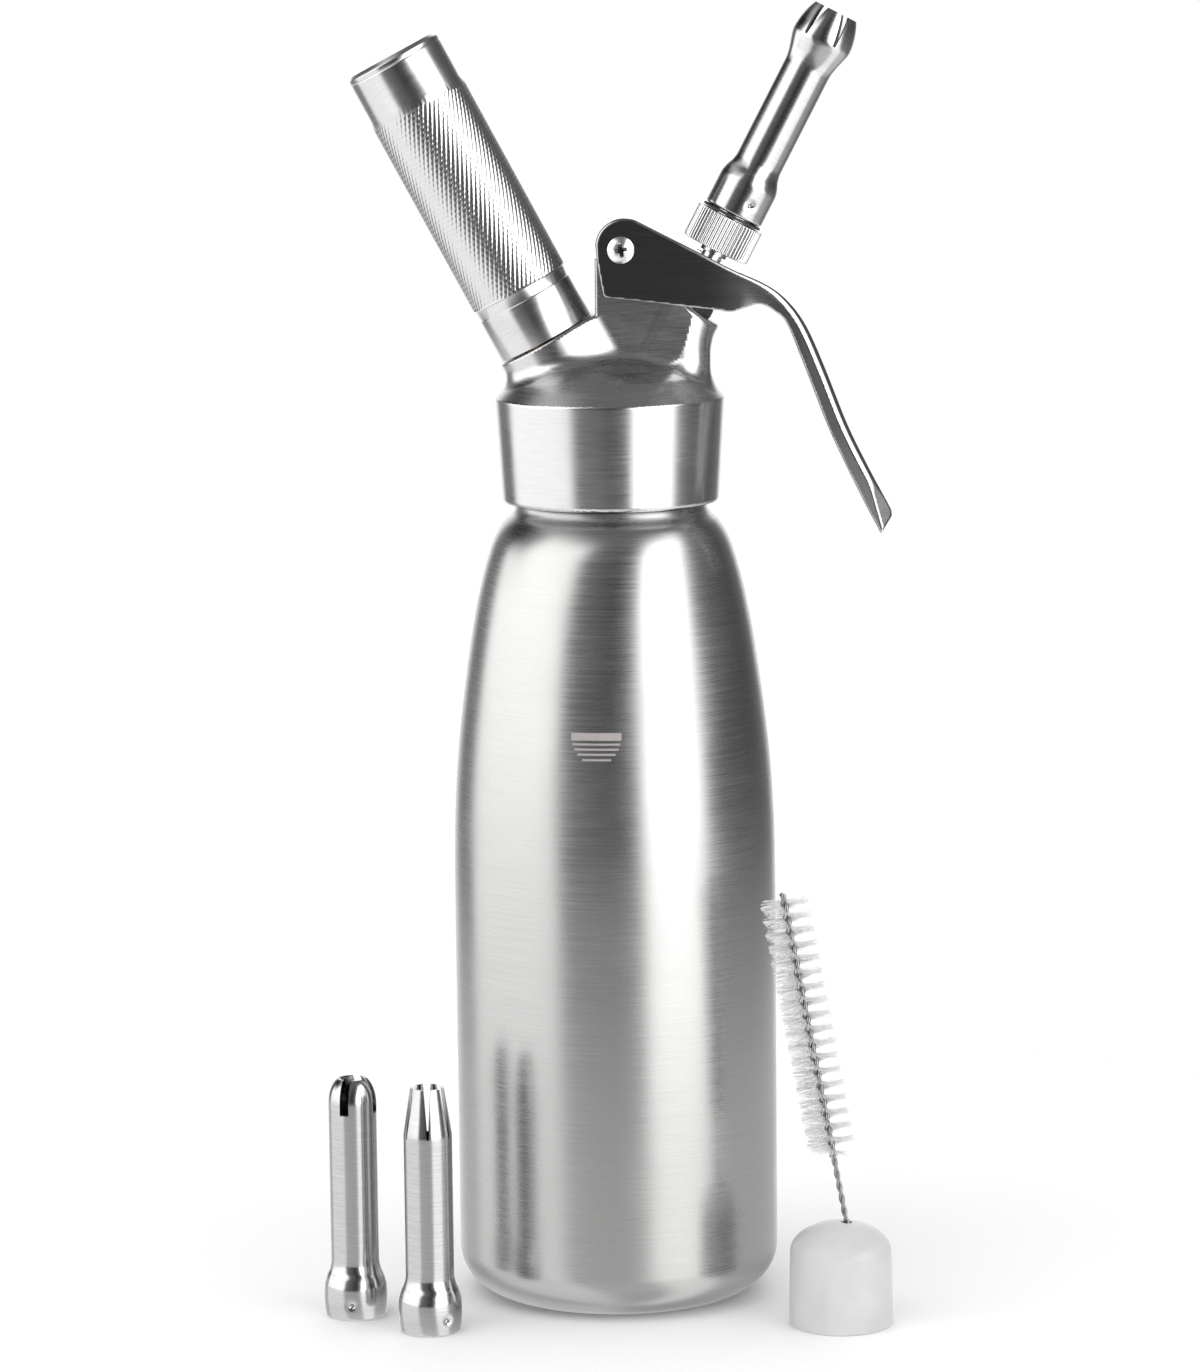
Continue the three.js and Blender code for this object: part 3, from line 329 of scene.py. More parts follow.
def new_tree(name, kind, outputs, **inputs):
    """A node group and its inputs, which are given with their values, or else with their kinds as text."""
    tree = bpy.data.node_groups.new(name, kind + "NodeTree")
    for socket, value in inputs.items():
        form = {bool: "Bool", int: "Int", float: "Float"}.get(type(value), value)
        made = tree.interface.new_socket(socket, in_out="INPUT", socket_type="NodeSocket" + form)
        if form != value:
            made.default_value = value
    for socket in outputs:
        form = "NodeSocketGeometry" if kind == "Geometry" else "NodeSocketFloat"
        tree.interface.new_socket(socket, in_out="OUTPUT", socket_type=form)
    return tree, node(tree, "NodeGroupInput")


def dressed(tree, geometry, finish):
    """A Geometry Nodes tree, ended with its shape made real and in its finish."""
    real = node(tree, "GeometryNodeRealizeInstances", {0: geometry})
    done = node(tree, "GeometryNodeSetMaterial", {"Geometry": real, "Material": finish})
    node(tree, "NodeGroupOutput", {0: done})
    return tree


def rod_along(tree, line, section_r, sides):
    """A round rod along the curves of a tree."""
    section = node(tree, "GeometryNodeCurvePrimitiveCircle", {"Resolution": sides, "Radius": section_r})
    return node(tree, "GeometryNodeCurveToMesh", {"Curve": line, "Profile Curve": section, "Fill Caps": True})


def grown(tree, mesh=None, **inputs):
    """The plain mesh that a Geometry Nodes tree makes from a mesh, with its named inputs set."""
    start = placed("growing", mesh or bpy.data.meshes.new("growing"))
    modifier = start.modifiers.new("growing", "NODES")
    modifier.node_group = tree
    for item in tree.interface.items_tree:
        if item.in_out == "INPUT" and item.name.lower() in inputs:
            modifier[item.identifier] = inputs[item.name.lower()]
    evaluated = start.evaluated_get(bpy.context.evaluated_depsgraph_get())
    result = bpy.data.meshes.new_from_object(evaluated)
    start.modifiers.clear()
    bpy.data.objects.remove(start)
    return result


def coil_tree():
    """A rod wound round +Z: a thread's ridge, a spring or a strand of wire."""
    tree, given = new_tree("coil", "Geometry", ["Mesh"], Radius=0.01, Foot=0.0, Height=0.01, Turns=3.0,
                           Section=0.001, Sides=8, Steps=48, Left=False, Finish="Material")
    spiral = node(tree, "GeometryNodeCurveSpiral", {
        "Resolution": given["Steps"], "Rotations": given["Turns"], "Start Radius": given["Radius"],
        "End Radius": given["Radius"], "Height": given["Height"], "Reverse": given["Left"]})
    lift = node(tree, "CombineXYZ", {"Z": given["Foot"]})
    line = node(tree, "GeometryNodeTransform", {"Geometry": spiral, "Translation": lift})
    return dressed(tree, rod_along(tree, line, given["Section"], given["Sides"]), given["Finish"])


coil = coil_tree()


def coiled(radius, foot, height, turns, section, finish, sides=8, per_turn=48, left=False):
    """A wound rod, with its sizes in millimetres. It is wound to the right, or to the left."""
    return grown(coil, radius=radius * mm, foot=foot * mm, height=height * mm, turns=float(turns),
                 section=section * mm, sides=sides, steps=per_turn, left=left, finish=finish)


def noise(place, scale, detail):
    """A value about a half that changes from place to place."""
    return node(place.tree, "TexNoise", {"Vector": place, "Scale": scale, "Detail": detail})


def grain_group():
    """Fine scratches that run round +Z, and soft handling marks, each as a value about a half."""
    tree, given = new_tree("grain", "Shader", ["Scratches", "Handling"], Vector="Vector", Length=0.02,
                           Spacing=0.0004, Marks=0.03)
    sizes = "Length", "Spacing", "Marks"
    along, across, marks_scale = (calculated("DIVIDE", 1.0, given[size]) for size in sizes)
    stretch = node(tree, "CombineXYZ", {0: along, 1: along, 2: across})
    drawn = node(tree, "VectorMath", {0: given["Vector"], 1: stretch}, operation="MULTIPLY")
    node(tree, "NodeGroupOutput", {0: noise(drawn, 1.0, 4.0), 1: noise(given["Vector"], marks_scale, 3.0)})
    return tree


grain = grain_group()


def blank_material(name):
    """A material, its shader, and a point's place on the object."""
    material = bpy.data.materials.new(name)
    tree = empty_tree(material)
    surface = node(tree, "BsdfPrincipled")
    node(tree, "OutputMaterial", {"Surface": surface})
    return material, surface.socket.node, node(tree, "TexCoord")["Object"]


def grey(value, low, high, tint=(1.0, 1.0, 1.0)):
    """A colour from a darker to a lighter grey."""
    shades = [tuple(level * part for part in tint) + (1,) for level in (low, high)]
    return mixed(ranged(value, 0.0, 1.0), *shades)


def bumped(height, strength, depth):
    """Relief by a height, with its depth in millimetres."""
    return node(height.tree, "Bump", {"Strength": strength, "Distance": depth * mm, "Height": height})


def metal(name, shade, roughness, scratch=0.02, length=14, spacing=0.35, marks=25, relief=0.15,
          tilt=0.0, centre=(0, 0, 0), tint=(1.0, 1.0, 1.0)):
    """A metal with grain round an axis at a centre in millimetres, tilted about Y by so many degrees."""
    material, shader, place = blank_material(name)
    turned_to = node(place.tree, "Mapping", {
        "Vector": place, "Location": [c * mm for c in centre], "Rotation": (0, math.radians(tilt), 0),
    }, vector_type="TEXTURE")
    scratches = node(place.tree, "Group", {
        "Vector": turned_to, "Length": length * mm, "Spacing": spacing * mm, "Marks": marks * mm,
    }, node_tree=grain)
    plug(shader, {
        "Metallic": 1, "Base Color": grey(scratches, shade * (1 - 2 * scratch), shade * (1 + scratch), tint),
        "Roughness": (ranged(scratches, roughness * 0.85, roughness * 1.15)
                      + ranged(scratches["Handling"], -0.1 * roughness, 0.15 * roughness)),
        "Normal": bumped(scratches, relief, 0.02),
    })
    return material, shader, place


def plugged(shader, name):
    """What an input of a shader is linked to."""
    return Term(shader.inputs[name].links[0].from_socket)


def level_mark(place, soft=0.12):
    """A mask of the level mark's bars on the bottle's front, with soft edges."""
    axes = node(place.tree, "SeparateXYZ", {0: place})
    total = axes["Y"] * 0.0
    for middle, height, width in level_bars:
        sides = [
            ranged(calculated("ABSOLUTE", axes[axis] - centre * mm), 1.0, 0.0,
                   (size / 2 - soft) * mm, (size / 2 + soft) * mm)
            for axis, centre, size in (("X", level_mark_x, width), ("Z", middle, height))
        ]
        total = total + sides[0] * sides[1]
    return total * calculated("LESS_THAN", axes["Y"], 0.0)


bottle_steel, bottle_shader, bottle_place = metal(
    "bottle_steel", 0.45, 0.26, scratch=0.04, length=22, spacing=0.22, relief=0.22, tint=(1.0, 0.995, 0.985))
mark = level_mark(bottle_place)
plug(bottle_shader, {
    "Base Color": mixed(mark, plugged(bottle_shader, "Base Color"), (0.36, 0.33, 0.325, 1)),
    "Metallic": ranged(mark, 1.0, 0.15, 0.0, 1.0),
    "Roughness": calculated("MULTIPLY_ADD", mark, 0.4, plugged(bottle_shader, "Roughness")),
})

bottle_outside = (
    [(0, bottle_dish), (bottle_dish_r - 6, bottle_dish), (bottle_dish_r - 2, 0.4), (bottle_dish_r, 0)]
    + arc(bottle_r - bottle_foot_r, bottle_foot_r, bottle_foot_r, -90, 0, 24)
    + [(bottle_r, z) for z in np.linspace(bottle_foot_r + 4, 118, 12)]
    + flowing(bottle_shoulder, 5)[1:]
    + [(neck_r, bottle_top - 0.6), (neck_r - 0.2, bottle_top - 0.15), (neck_r - 0.5, bottle_top)]
)
inner_r, inner_foot_r = bottle_r - bottle_wall, bottle_foot_r - bottle_wall
bottle_inside = (
    [(neck_r - 0.8, bottle_top), (neck_r - bottle_wall, bottle_top - 0.3), (neck_r - bottle_wall, neck_foot)]
    + [(r - bottle_wall, z - 0.5 * bottle_wall) for r, z in reversed(flowing(bottle_shoulder, 2)[1:-1])]
    + [(inner_r, 118.0)]
    + arc(bottle_r - bottle_foot_r, 2.2 + inner_foot_r, inner_foot_r, 0, -90, 12)
    + [(0, 2.2)]
)
bottle_mesh = joined(
    plain_mesh(*turned(bottle_outside + bottle_inside, 192)),
    coiled(neck_r - 0.35, 232.5, 8, 2, 1.5, bottle_steel, sides=6, per_turn=64),
)
show("bottle_shell", bottle_mesh, "bottle", bottle_steel, "bottle")

# Head gasket. A flat rubber ring in the head, which the bottle's rim is pressed into. Its solid has the right
# shape.


def moulded(name, flecks, pores, shades, rough, relief=0.0, milky=0.0, milky_depth=1):
    """Rubber or plastic. Its flecks and its pores are each given as the scale and detail of a noise."""
    material, shader, place = blank_material(name)
    fine = noise(place, *pores)
    plug(shader, {
        "Base Color": grey(noise(place, *flecks), *shades), "Roughness": ranged(fine, *rough),
        "Normal": bumped(fine, relief, 0.05), "Subsurface Weight": milky, "Subsurface Radius": (1, 1, 1),
        "Subsurface Scale": milky_depth * mm,
    })
    return material


def finish_node(name, material):
    """A better material for a CAD node that keeps its shape."""
    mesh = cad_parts[name].data
    mesh.materials.clear()
    mesh.materials.append(material)


black_rubber = moulded("black_rubber", (400.0, 3.0), (4000.0, 2.0), (0.02, 0.04), (0.45, 0.65), relief=0.2)
finish_node("head_gasket", black_rubber)

# Head casting. One polished aluminium casting: a skirt with an inner thread, a domed shoulder, a boss for the
# charger's port, a boss for the valve, and a slab that ends in the hinge post. Its inner corners are
# filleted and its edges broken, so it is made from distances, whose joints can be rounded.
charger_line, valve_line = (-17.77, 274.28, -28.0), (21.5, 282.2, 27.5)
skirt_foot, skirt_top, skirt_foot_r, skirt_top_r, skirt_bore_r = 227.7, 257.3, 30.6, 32.3, 28.6
gasket_seat, chamber_top, chamber_r = 249.9, 254.0, 22.5
charger_boss_r, charger_boss_depth, valve_boss_r, valve_boss_depth = 14.85, 20.0, 10.65, 26.0
hinge_x, hinge_z, hinge_bore_r = 3.4, 299.4, 2.75
slab_half, slab_left, slab_right, post_r, heel_top = 10.5, -3.9, 28.7, 4.8, 296.8
seam = 0.3


def across_line(line, p):
    """Points' places in the frame of a tilted line, which is given as its start's x and z and its tilt."""
    start_x, start_z, tilt = line
    s, c = math.sin(math.radians(tilt)), math.cos(math.radians(tilt))
    x, z = p[0] - start_x, p[2] - start_z
    return x * c - z * s, p[1], x * s + z * c


def fillet(a, b, radius):
    """The distance of two shapes joined, with a fillet between them."""
    inward = np.hypot(np.maximum(radius - a, 0), np.maximum(radius - b, 0))
    return np.maximum(radius, np.minimum(a, b)) - inward


def edged(a, b, radius):
    """The distance of what two shapes share, with a rounded edge."""
    return -fillet(-a, -b, radius)


def outline_distance(x, y, points):
    """The distance from a closed outline in a plane, negative within it."""
    nearest, within = np.full(x.shape, np.inf), np.zeros(x.shape, bool)
    for (x0, y0), (x1, y1) in zip(points, points[1:] + points[:1]):
        run, rise = x1 - x0, y1 - y0
        share = np.clip(((x - x0) * run + (y - y0) * rise) / (run * run + rise * rise), 0, 1)
        nearest = np.minimum(nearest, (x - x0 - share * run) ** 2 + (y - y0 - share * rise) ** 2)
        if rise:
            within ^= ((y0 <= y) != (y1 <= y)) & (x < x0 + run * (y - y0) / rise)
    return np.where(within, -1, 1) * np.sqrt(nearest)


def rod_distance(line, radius, foot, top, edge, p):
    """The distance from a round rod on a tilted line."""
    u, v, w = across_line(line, p)
    return edged(np.hypot(u, v) - radius, np.maximum(foot - w, w - top), edge)


def skin(distance, low, high, cell):
    """Points, faces and normals of the surface where a distance is nil, sought in full only near it."""
    crowd = 4
    low, counts = np.array(low, float), np.ceil((np.array(high) - low) / cell / crowd).astype(int) * crowd + 1
    index = np.indices((counts - 1) // crowd + 1)
    coarse = distance(low[:, None, None, None] + index * (cell * crowd))
    field = coarse
    for axis in range(3):
        field = np.repeat(field, crowd, axis)
    field = field[tuple(slice(crowd // 2, crowd // 2 + n) for n in counts)]
    near = np.abs(field) < 1.5 * cell * crowd
    field = np.where(near, 0.0, field)
    field[near] = distance(low[:, None] + np.argwhere(near).T * cell)
    within = field < 0
    steps = np.eye(3, dtype=int)
    cells, crossings, quads = [], [], []
    for axis in range(3):
        step, side, up = steps[axis], steps[(axis + 1) % 3], steps[(axis + 2) % 3]
        last = tuple(slice(0, n - 1 if i == axis else n) for i, n in enumerate(counts))
        after = tuple(slice(1, n) if i == axis else slice(0, n) for i, n in enumerate(counts))
        edges = np.argwhere(within[last] != within[after])
        start, end = field[tuple(edges.T)], field[tuple((edges + step).T)]
        crossing = low + cell * (edges + (start / (start - end))[:, None] * step)
        around = np.stack([edges - side - up, edges - up, edges, edges - side], 1)
        numbers = np.ravel_multi_index(np.moveaxis(around, -1, 0), counts)
        cells.append(numbers.ravel())
        crossings.append(np.repeat(crossing, 4, 0))
        quads.append(np.where((start < 0)[:, None], numbers, numbers[:, ::-1]))
    numbers, place = np.unique(np.concatenate(cells), return_inverse=True)
    share = np.bincount(place)
    points = np.stack([np.bincount(place, column) / share for column in np.concatenate(crossings).T], 1)
    quads = np.searchsorted(numbers, np.concatenate(quads)).tolist()
    probe = 0.1 * cell
    for _ in range(3):
        slope = np.stack(
            [distance(points.T + step) - distance(points.T - step) for step in probe * steps[:, :, None]], 1
        ) / (2 * probe)
        steep = np.maximum((slope ** 2).sum(1), 0.25)
        move = np.clip(distance(points.T) / steep, -0.5 * cell, 0.5 * cell)
        points = points - slope * move[:, None]
    return points, quads, slope / np.linalg.norm(slope, axis=1, keepdims=True)


def show_skin(name, shape, body, slot, finish, solid, *more):
    """A shown piece made by skin, whose shading follows the exact slopes of its distance."""
    points, quads, normals = shape
    piece = show(name, joined(raw_mesh(points, quads), *more), body, finish, solid, crease=180)
    all_normals = np.zeros(3 * len(piece.data.vertices), np.float32)
    piece.data.vertices.foreach_get("normal", all_normals)
    all_normals = all_normals.reshape(-1, 3)
    all_normals[:len(normals)] = normals
    piece.data.normals_split_custom_set_from_vertices(all_normals.tolist())
    return piece


shoulder_line = flowing(
    [(31.8, 257.75), (30.1, 259.6), (28.1, 261.6), (25.0, 264.0), (20.0, 266.5), (10.0, 268.8),
     (0, 269.3)], 3)
skirt_outline = [(0, skirt_foot), (skirt_foot_r - 1.2, skirt_foot), (skirt_foot_r - 0.35, skirt_foot + 0.35),
                 (skirt_foot_r, skirt_foot + 1.2), (skirt_top_r, skirt_top - 0.4),
                 (skirt_top_r - 0.1, skirt_top)] + shoulder_line
bore_outline = [(0, skirt_foot - 5), (skirt_bore_r, skirt_foot - 5), (skirt_bore_r, gasket_seat),
                (chamber_r, gasket_seat), (chamber_r, chamber_top), (12, chamber_top + 6),
                (0, chamber_top + 6)]
slab_outline = [(-15, skirt_top - 4), (slab_right, skirt_top - 4), (slab_right, 277.0), (17.0, 289.0),
                (hinge_x + post_r, 290.0), (hinge_x + post_r, hinge_z), (slab_left, heel_top),
                (slab_left, 281.1), (-15, 275.2)]
# Each bore along a tilted line: the line, its radius, foot and top. They hold the charger's port, the gland,
# the stem and the stem's inner head.
head_bores = [(charger_line, 7.8, -21.5, 3), (valve_line, 6.2, -12, 3), (valve_line, 3.6, -24, 1),
              (valve_line, 6.5, -34, -22)]
boss_blend_r = 5.5


def head_distance(p):
    """The distance from the head casting, negative within its metal."""
    x, y, z = p
    from_axis = np.hypot(x, y)
    body = outline_distance(from_axis, z, skirt_outline)
    charger_boss = rod_distance(charger_line, charger_boss_r, -charger_boss_depth, -seam, 0.8, p)
    valve_boss = rod_distance(valve_line, valve_boss_r, -valve_boss_depth, 0, 0.9, p)
    post = np.hypot(x - hinge_x, z - hinge_z) - post_r
    slab = fillet(outline_distance(x, z, slab_outline), post, 1.5)
    slab = edged(slab, edged(np.abs(y) - slab_half, x - slab_right, 8.5), 0.8)
    upright = np.maximum(fillet(slab, valve_boss, 2), np.abs(y) - slab_half - 0.3)
    below_seat = across_line(charger_line, p)[2] + seam
    blend = edged(fillet(upright, charger_boss, boss_blend_r), below_seat, 0.8)
    body = fillet(body, np.minimum(upright, blend), 3.5)
    bore = outline_distance(from_axis, z, bore_outline)
    for line, radius, foot, top in head_bores:
        bore = np.minimum(bore, rod_distance(line, radius, foot, top, 0.2, p))
    bore = np.minimum(bore, np.hypot(x - hinge_x, z - hinge_z) - hinge_bore_r)
    return edged(body, -bore, 0.4)


cast_aluminium, cast_shader, cast_place = metal(
    "cast_aluminium", 0.54, 0.2, scratch=0.03, length=9, spacing=0.3, marks=12, relief=0.06,
    tint=(0.995, 1, 1.005))
cast_height = node(cast_place.tree, "SeparateXYZ", {0: cast_place})["Z"]
above_skirt = ranged(cast_height, 0.0, 0.06, (skirt_top - 0.3) * mm, (skirt_top + 0.5) * mm)
plug(cast_shader, {"Roughness": plugged(cast_shader, "Roughness") + above_skirt})
head_thread = coiled(skirt_bore_r - 0.3, 234.5, 4, 1, 1.5, cast_aluminium, sides=6, per_turn=64)
show_skin("cast_head", skin(head_distance, (-36, -34, 226.5), (36, 34, 306.5), 0.55), "head",
          "polished_aluminium", cast_aluminium, "head_casting", head_thread)

# Charger port, piercing pin, port gasket and gas cartridge. The port is a turned brass nipple with a thread
# for the holder. The hollow steel needle, the rubber ring and the drawn steel cartridge are inside them.
charger_at = {"tilt": charger_line[2], "centre": (charger_line[0], 0, charger_line[1])}
valve_at = {"tilt": valve_line[2], "centre": (valve_line[0], 0, valve_line[1])}
brass_tint = (1.0, 0.8, 0.45)
port_brass = metal("port_brass", 0.75, 0.3, tint=brass_tint, spacing=0.2, **charger_at)[0]
port_r, port_top, port_root_r, port_root, port_mouth_r, port_seat = 9.6, 21.5, 7.5, -17.5, 5.0, 16.6
pin_bore_r, pin_seat, gas_bore_r = 3.3, 13.0, 1.6
port_rim = eased([(port_r, 0), (port_r, port_top - 1.2), (port_r - 1.2, port_top),
                  (port_mouth_r, port_top)], 0.3)
port_outline = (
    [(gas_bore_r, port_root), (port_root_r, port_root), (port_root_r, 0)] + port_rim
    + [(port_mouth_r, port_seat), (pin_bore_r, port_seat), (pin_bore_r, pin_seat), (gas_bore_r, pin_seat),
       (gas_bore_r, port_root)]
)
port_thread = coiled(port_r, 4.25, 5, 2, 0.75, port_brass, per_turn=64)
port_mesh = joined(plain_mesh(*turned(port_outline, 96)), port_thread)


def moved(mesh, place, turn=0.0, axis="Y"):
    """The mesh turned about an axis, in degrees, and brought to a place in millimetres."""
    mesh.transform(Matrix.Translation(Vector(place) * mm) @ Matrix.Rotation(math.radians(turn), 4, axis))
    return mesh


def tilted(mesh, line, y=0.0):
    """The mesh brought from a tilted line's frame into the object's."""
    return moved(mesh, (line[0], y, line[1]), line[2])


show("port_nipple", tilted(port_mesh, charger_line), "head", port_brass, "charger_port")
finish_node("piercing_pin", metal("pin_steel", 0.6, 0.2, spacing=0.1, **charger_at)[0])
finish_node("port_gasket", black_rubber)
cartridge_steel = metal("cartridge_steel", 0.55, 0.32, scratch=0.06, length=30, spacing=0.4, **charger_at)[0]
finish_node("charger", cartridge_steel)

# Charger holder. A turned aluminium cup that screws over the cartridge. A rope-like knurl is rolled into its
# middle, below a plain head band with a rim, and above a sunk strip and a plain foot band.
holder_length, holder_r, holder_bore_r, holder_mouth_r = 89.9, 14.1, 9.35, 11.3
knurl_foot, knurl_top, knurl_r = 16.0, 74.0, 14.45
knurl_ridges, knurl_columns, knurl_row = 62, 6, 0.33
knurl_depth, knurl_helix = 0.2, math.radians(29)


def knurl_tree():
    """Presses grooves into a turned shape: one family climbs by Helix, and its mirror counts by Cross."""
    tree, given = new_tree("knurl", "Geometry", ["Geometry"], Geometry="Geometry", Ridges=60, Depth=0.0004,
                           Foot=0.0, Top=0.01, Radius=0.01, Helix=0.0, Cross=0.0, Finish="Material")
    axes = node(tree, "SeparateXYZ", {0: node(tree, "GeometryNodeInputPosition")})
    x, y, z = (axes[axis] for axis in "XYZ")
    foot, top, depth = given["Foot"], given["Top"], given["Depth"]
    turns = calculated("ARCTAN2", y, x) / (2 * math.pi) * given["Ridges"]
    climb = z * given["Helix"] / (given["Radius"] * (2 * math.pi)) * given["Ridges"]
    grooves = []
    for phase in (turns - climb, turns + climb):
        off_ridge = calculated("ABSOLUTE", calculated("FRACT", phase) - 0.5)
        grooves.append(calculated("POWER", off_ridge * 2.0, 2.0))
    height = calculated("MAXIMUM", grooves[0], grooves[1] * given["Cross"])
    out_r = calculated("SQRT", x * x + y * y)
    outside = calculated("GREATER_THAN", out_r, given["Radius"] * 0.97)
    share = ranged(z, 0.0, 1.0, foot, foot + depth) * ranged(z, 0.0, 1.0, top, top - depth) * outside
    inward = height * share * depth * -1.0 / out_r
    move = scaled(node(tree, "CombineXYZ", {0: x, 1: y}), inward)
    pressed = node(tree, "GeometryNodeSetPosition", {"Geometry": given["Geometry"], "Offset": move})
    return dressed(tree, pressed, given["Finish"])


knurl = knurl_tree()
knurled_aluminium = metal("knurled_aluminium", 0.56, 0.2, scratch=0.04, length=5, spacing=0.25, marks=8,
                          relief=0.12, **charger_at)[0]
holder_foot = eased(
    [(holder_mouth_r, 0), (holder_r + 0.05, 0), (holder_r + 0.05, 12.6), (holder_r - 0.3, 12.75),
     (holder_r, knurl_foot - 0.25), (knurl_r, knurl_foot)], 0.15)
holder_head = eased(
    [(knurl_r, knurl_top), (holder_r, knurl_top + 2), (holder_r, 87.2), (holder_r - 0.1, 87.35),
     (holder_r - 0.1, 87.55), (holder_r, 87.7), (holder_r, holder_length - 1.1),
     (holder_r - 1.1, holder_length), (7.0, holder_length - 0.45), (0, holder_length - 0.5)], 0.45, steps=4)
holder_inside = [(0, 78.3), (4, 77.4), (7.3, 74.5), (9.0, 70.5), (holder_bore_r, 68), (holder_bore_r, 24.5),
                 (holder_mouth_r, 22.5), (holder_mouth_r, 0)]
knurl_rows = np.linspace(knurl_foot, knurl_top, round((knurl_top - knurl_foot) / knurl_row) + 1)
holder_profile = holder_foot[:-1] + [(knurl_r, z) for z in knurl_rows] + holder_head[1:] + holder_inside


def along_helix(z):
    """Turn of a row of the holder's points, so that its columns run along the ridges."""
    return (np.clip(z, knurl_foot, knurl_top) - knurl_foot) * math.tan(knurl_helix) / knurl_r


holder_cup = plain_mesh(*turned(holder_profile, knurl_ridges * knurl_columns, twist=along_helix))
holder_cup = grown(knurl, holder_cup, ridges=knurl_ridges, depth=knurl_depth * mm, foot=knurl_foot * mm,
                   top=knurl_top * mm, radius=knurl_r * mm, helix=math.tan(knurl_helix), cross=0.7,
                   finish=knurled_aluminium)
holder_mesh = joined(holder_cup, coiled(11.1, 5.5, 2.5, 1, 0.9, knurled_aluminium, sides=6))
show("knurled_holder", tilted(holder_mesh, charger_line), "holder", knurled_aluminium,
     "charger_holder")

# Valve gland and stem o-ring. A brass bush that guides the stem in the valve boss, and the rubber ring below
# it. Both sit inside the boss, and their solids have the right shapes.
finish_node("valve_gland", metal("gland_brass", 0.75, 0.3, tint=brass_tint, spacing=0.2, **valve_at)[0])
finish_node("stem_o_ring", black_rubber)

# Valve stem. A turned steel pin with a collar that the lever presses on, and a threaded outer end. Its inner
# head carries the rubber disc that closes the valve, whose solid has the right shape.
stem_steel = metal("stem_steel", 0.72, 0.16, scratch=0.04, length=4, spacing=0.15, marks=5, relief=0.1,
                   **valve_at)[0]
stem_r, stem_end_r, stem_bore_r, stem_head_r, stem_head, stem_step, stem_end = 3, 2.4, 1.5, 4.6, -26, 19.5, 26
collar_r, collar_foot, collar_top = 5.2, 12.0, 13.6
stem_profile = eased([
    (0, stem_head), (stem_head_r, stem_head), (stem_head_r, stem_head + 1.6), (stem_r, stem_head + 1.6),
    (stem_r, collar_foot), (collar_r, collar_foot), (collar_r, collar_top), (stem_r, collar_top),
    (stem_r, stem_step), (stem_end_r, stem_step), (stem_end_r, stem_end), (stem_bore_r, stem_end),
    (stem_bore_r, stem_head + 3.1), (0, stem_head + 3.1),
], 0.25)
stem_thread = coiled(stem_end_r - 0.05, stem_step + 1, 4, 2, 0.45, stem_steel, sides=6)
stem_mesh = joined(plain_mesh(*turned(stem_profile, 64)), stem_thread)
show("stem_turned", tilted(stem_mesh, valve_line), "valve", stem_steel, "valve_stem")
finish_node("valve_seal", black_rubber)

# Valve washer. A thick washer of black rubber, moulded with rounded edges. It lies on the face of the valve
# boss, round the stem and under the spring.
washer_bore_r, washer_r, washer_foot, washer_top = 3.35, 7.5, 0.3, 3.0


def moulded_ring(bore_r, outer_r, foot, top, rounding, steps=3):
    """A flat ring round +Z with rounded edges."""
    section = eased([(bore_r, foot), (outer_r, foot), (outer_r, top), (bore_r, top)], rounding, steps, True)
    return plain_mesh(*turned(section, 96, closed=True))


washer_mesh = moulded_ring(washer_bore_r, washer_r, washer_foot, washer_top, 0.6, steps=4)
show("boss_washer", tilted(washer_mesh, valve_line), "head", black_rubber, "valve_washer")

# Valve spring. A coil of steel wire between the washer and the stem's collar. The real one shortens as the
# lever goes down; here it is one fixed shape that rides on the head.
spring_steel = metal("spring_steel", 0.6, 0.25, length=2, spacing=0.1, **valve_at)[0]
spring_foot, spring_top, spring_r, spring_wire_r, spring_turns = 3.8, 11.2, 4.8, 0.5, 5
spring_mesh = coiled(spring_r, spring_foot, spring_top - spring_foot, spring_turns, spring_wire_r,
                     spring_steel, sides=12, per_turn=40)
spring = show("spring_coil", tilted(spring_mesh, valve_line), "head", spring_steel,
              "valve_spring", crease=60)
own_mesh(spring)

# Squeeze lever. Pressed from 1.6 mm steel sheet into a channel that straddles the post: a web with a slot
# for the stem, two cheeks, and a handle that narrows towards its tip. It is polished, with rounded bends.
sheet, inner_bend_r, lever_wrap_r, lever_half = 1.6, 0.4, 7.0, 12.8
cheek_end, handle_start, cheek_bend_r, handle_bend_r, handle_lean = 36.0, 60.0, 0.9, 2.3, 0.25
wrap_start, wrap_end, wrap_end_r = 180.0, 62.5, 9.2
stem_slot_r, stem_slot_run, stem_slot_height, stem_slot_reach, taper_cos = 3.5, 1.4, 15, 6, 0.985
wrap_turn = np.radians(np.linspace(wrap_start, wrap_end, 24))
wrap_radius = np.linspace(lever_wrap_r, wrap_end_r, 24)
handle_back = [
    (26.0, 298.0), (34.0, 293.8), (44.2, 289.0), (50.3, 284.1), (55.3, 277.1), (60.4, 265.5), (66.7, 249.4),
    (72.6, 237.2), (79.0, 225.0),
]
lever_back = [(hinge_x + r * math.cos(a), hinge_z + r * math.sin(a)) for a, r in zip(wrap_turn, wrap_radius)]
lever_back += flowing(handle_back, 5) + [(84, 215), (84, 190), (-3.6, 190)]
handle_belly = [
    (30.2, 282.3), (34.2, 281.7), (38.2, 282.8), (42.2, 283.7), (46.1, 281.7), (49.9, 277.7), (55.6, 263.6),
    (62.2, 246.4), (70.4, 229.1), (75.98, 218.3),
]
lever_belly = eased([(-9.0, 330.0), (-2.15, 289.8), (-1.4, 286.05), (8.0, 284.95)], 1.6, steps=5)
lever_belly += flowing(handle_belly, 5) + [(79.2, 223.0), (79.2, 226.0), (90, 240), (90, 330)]
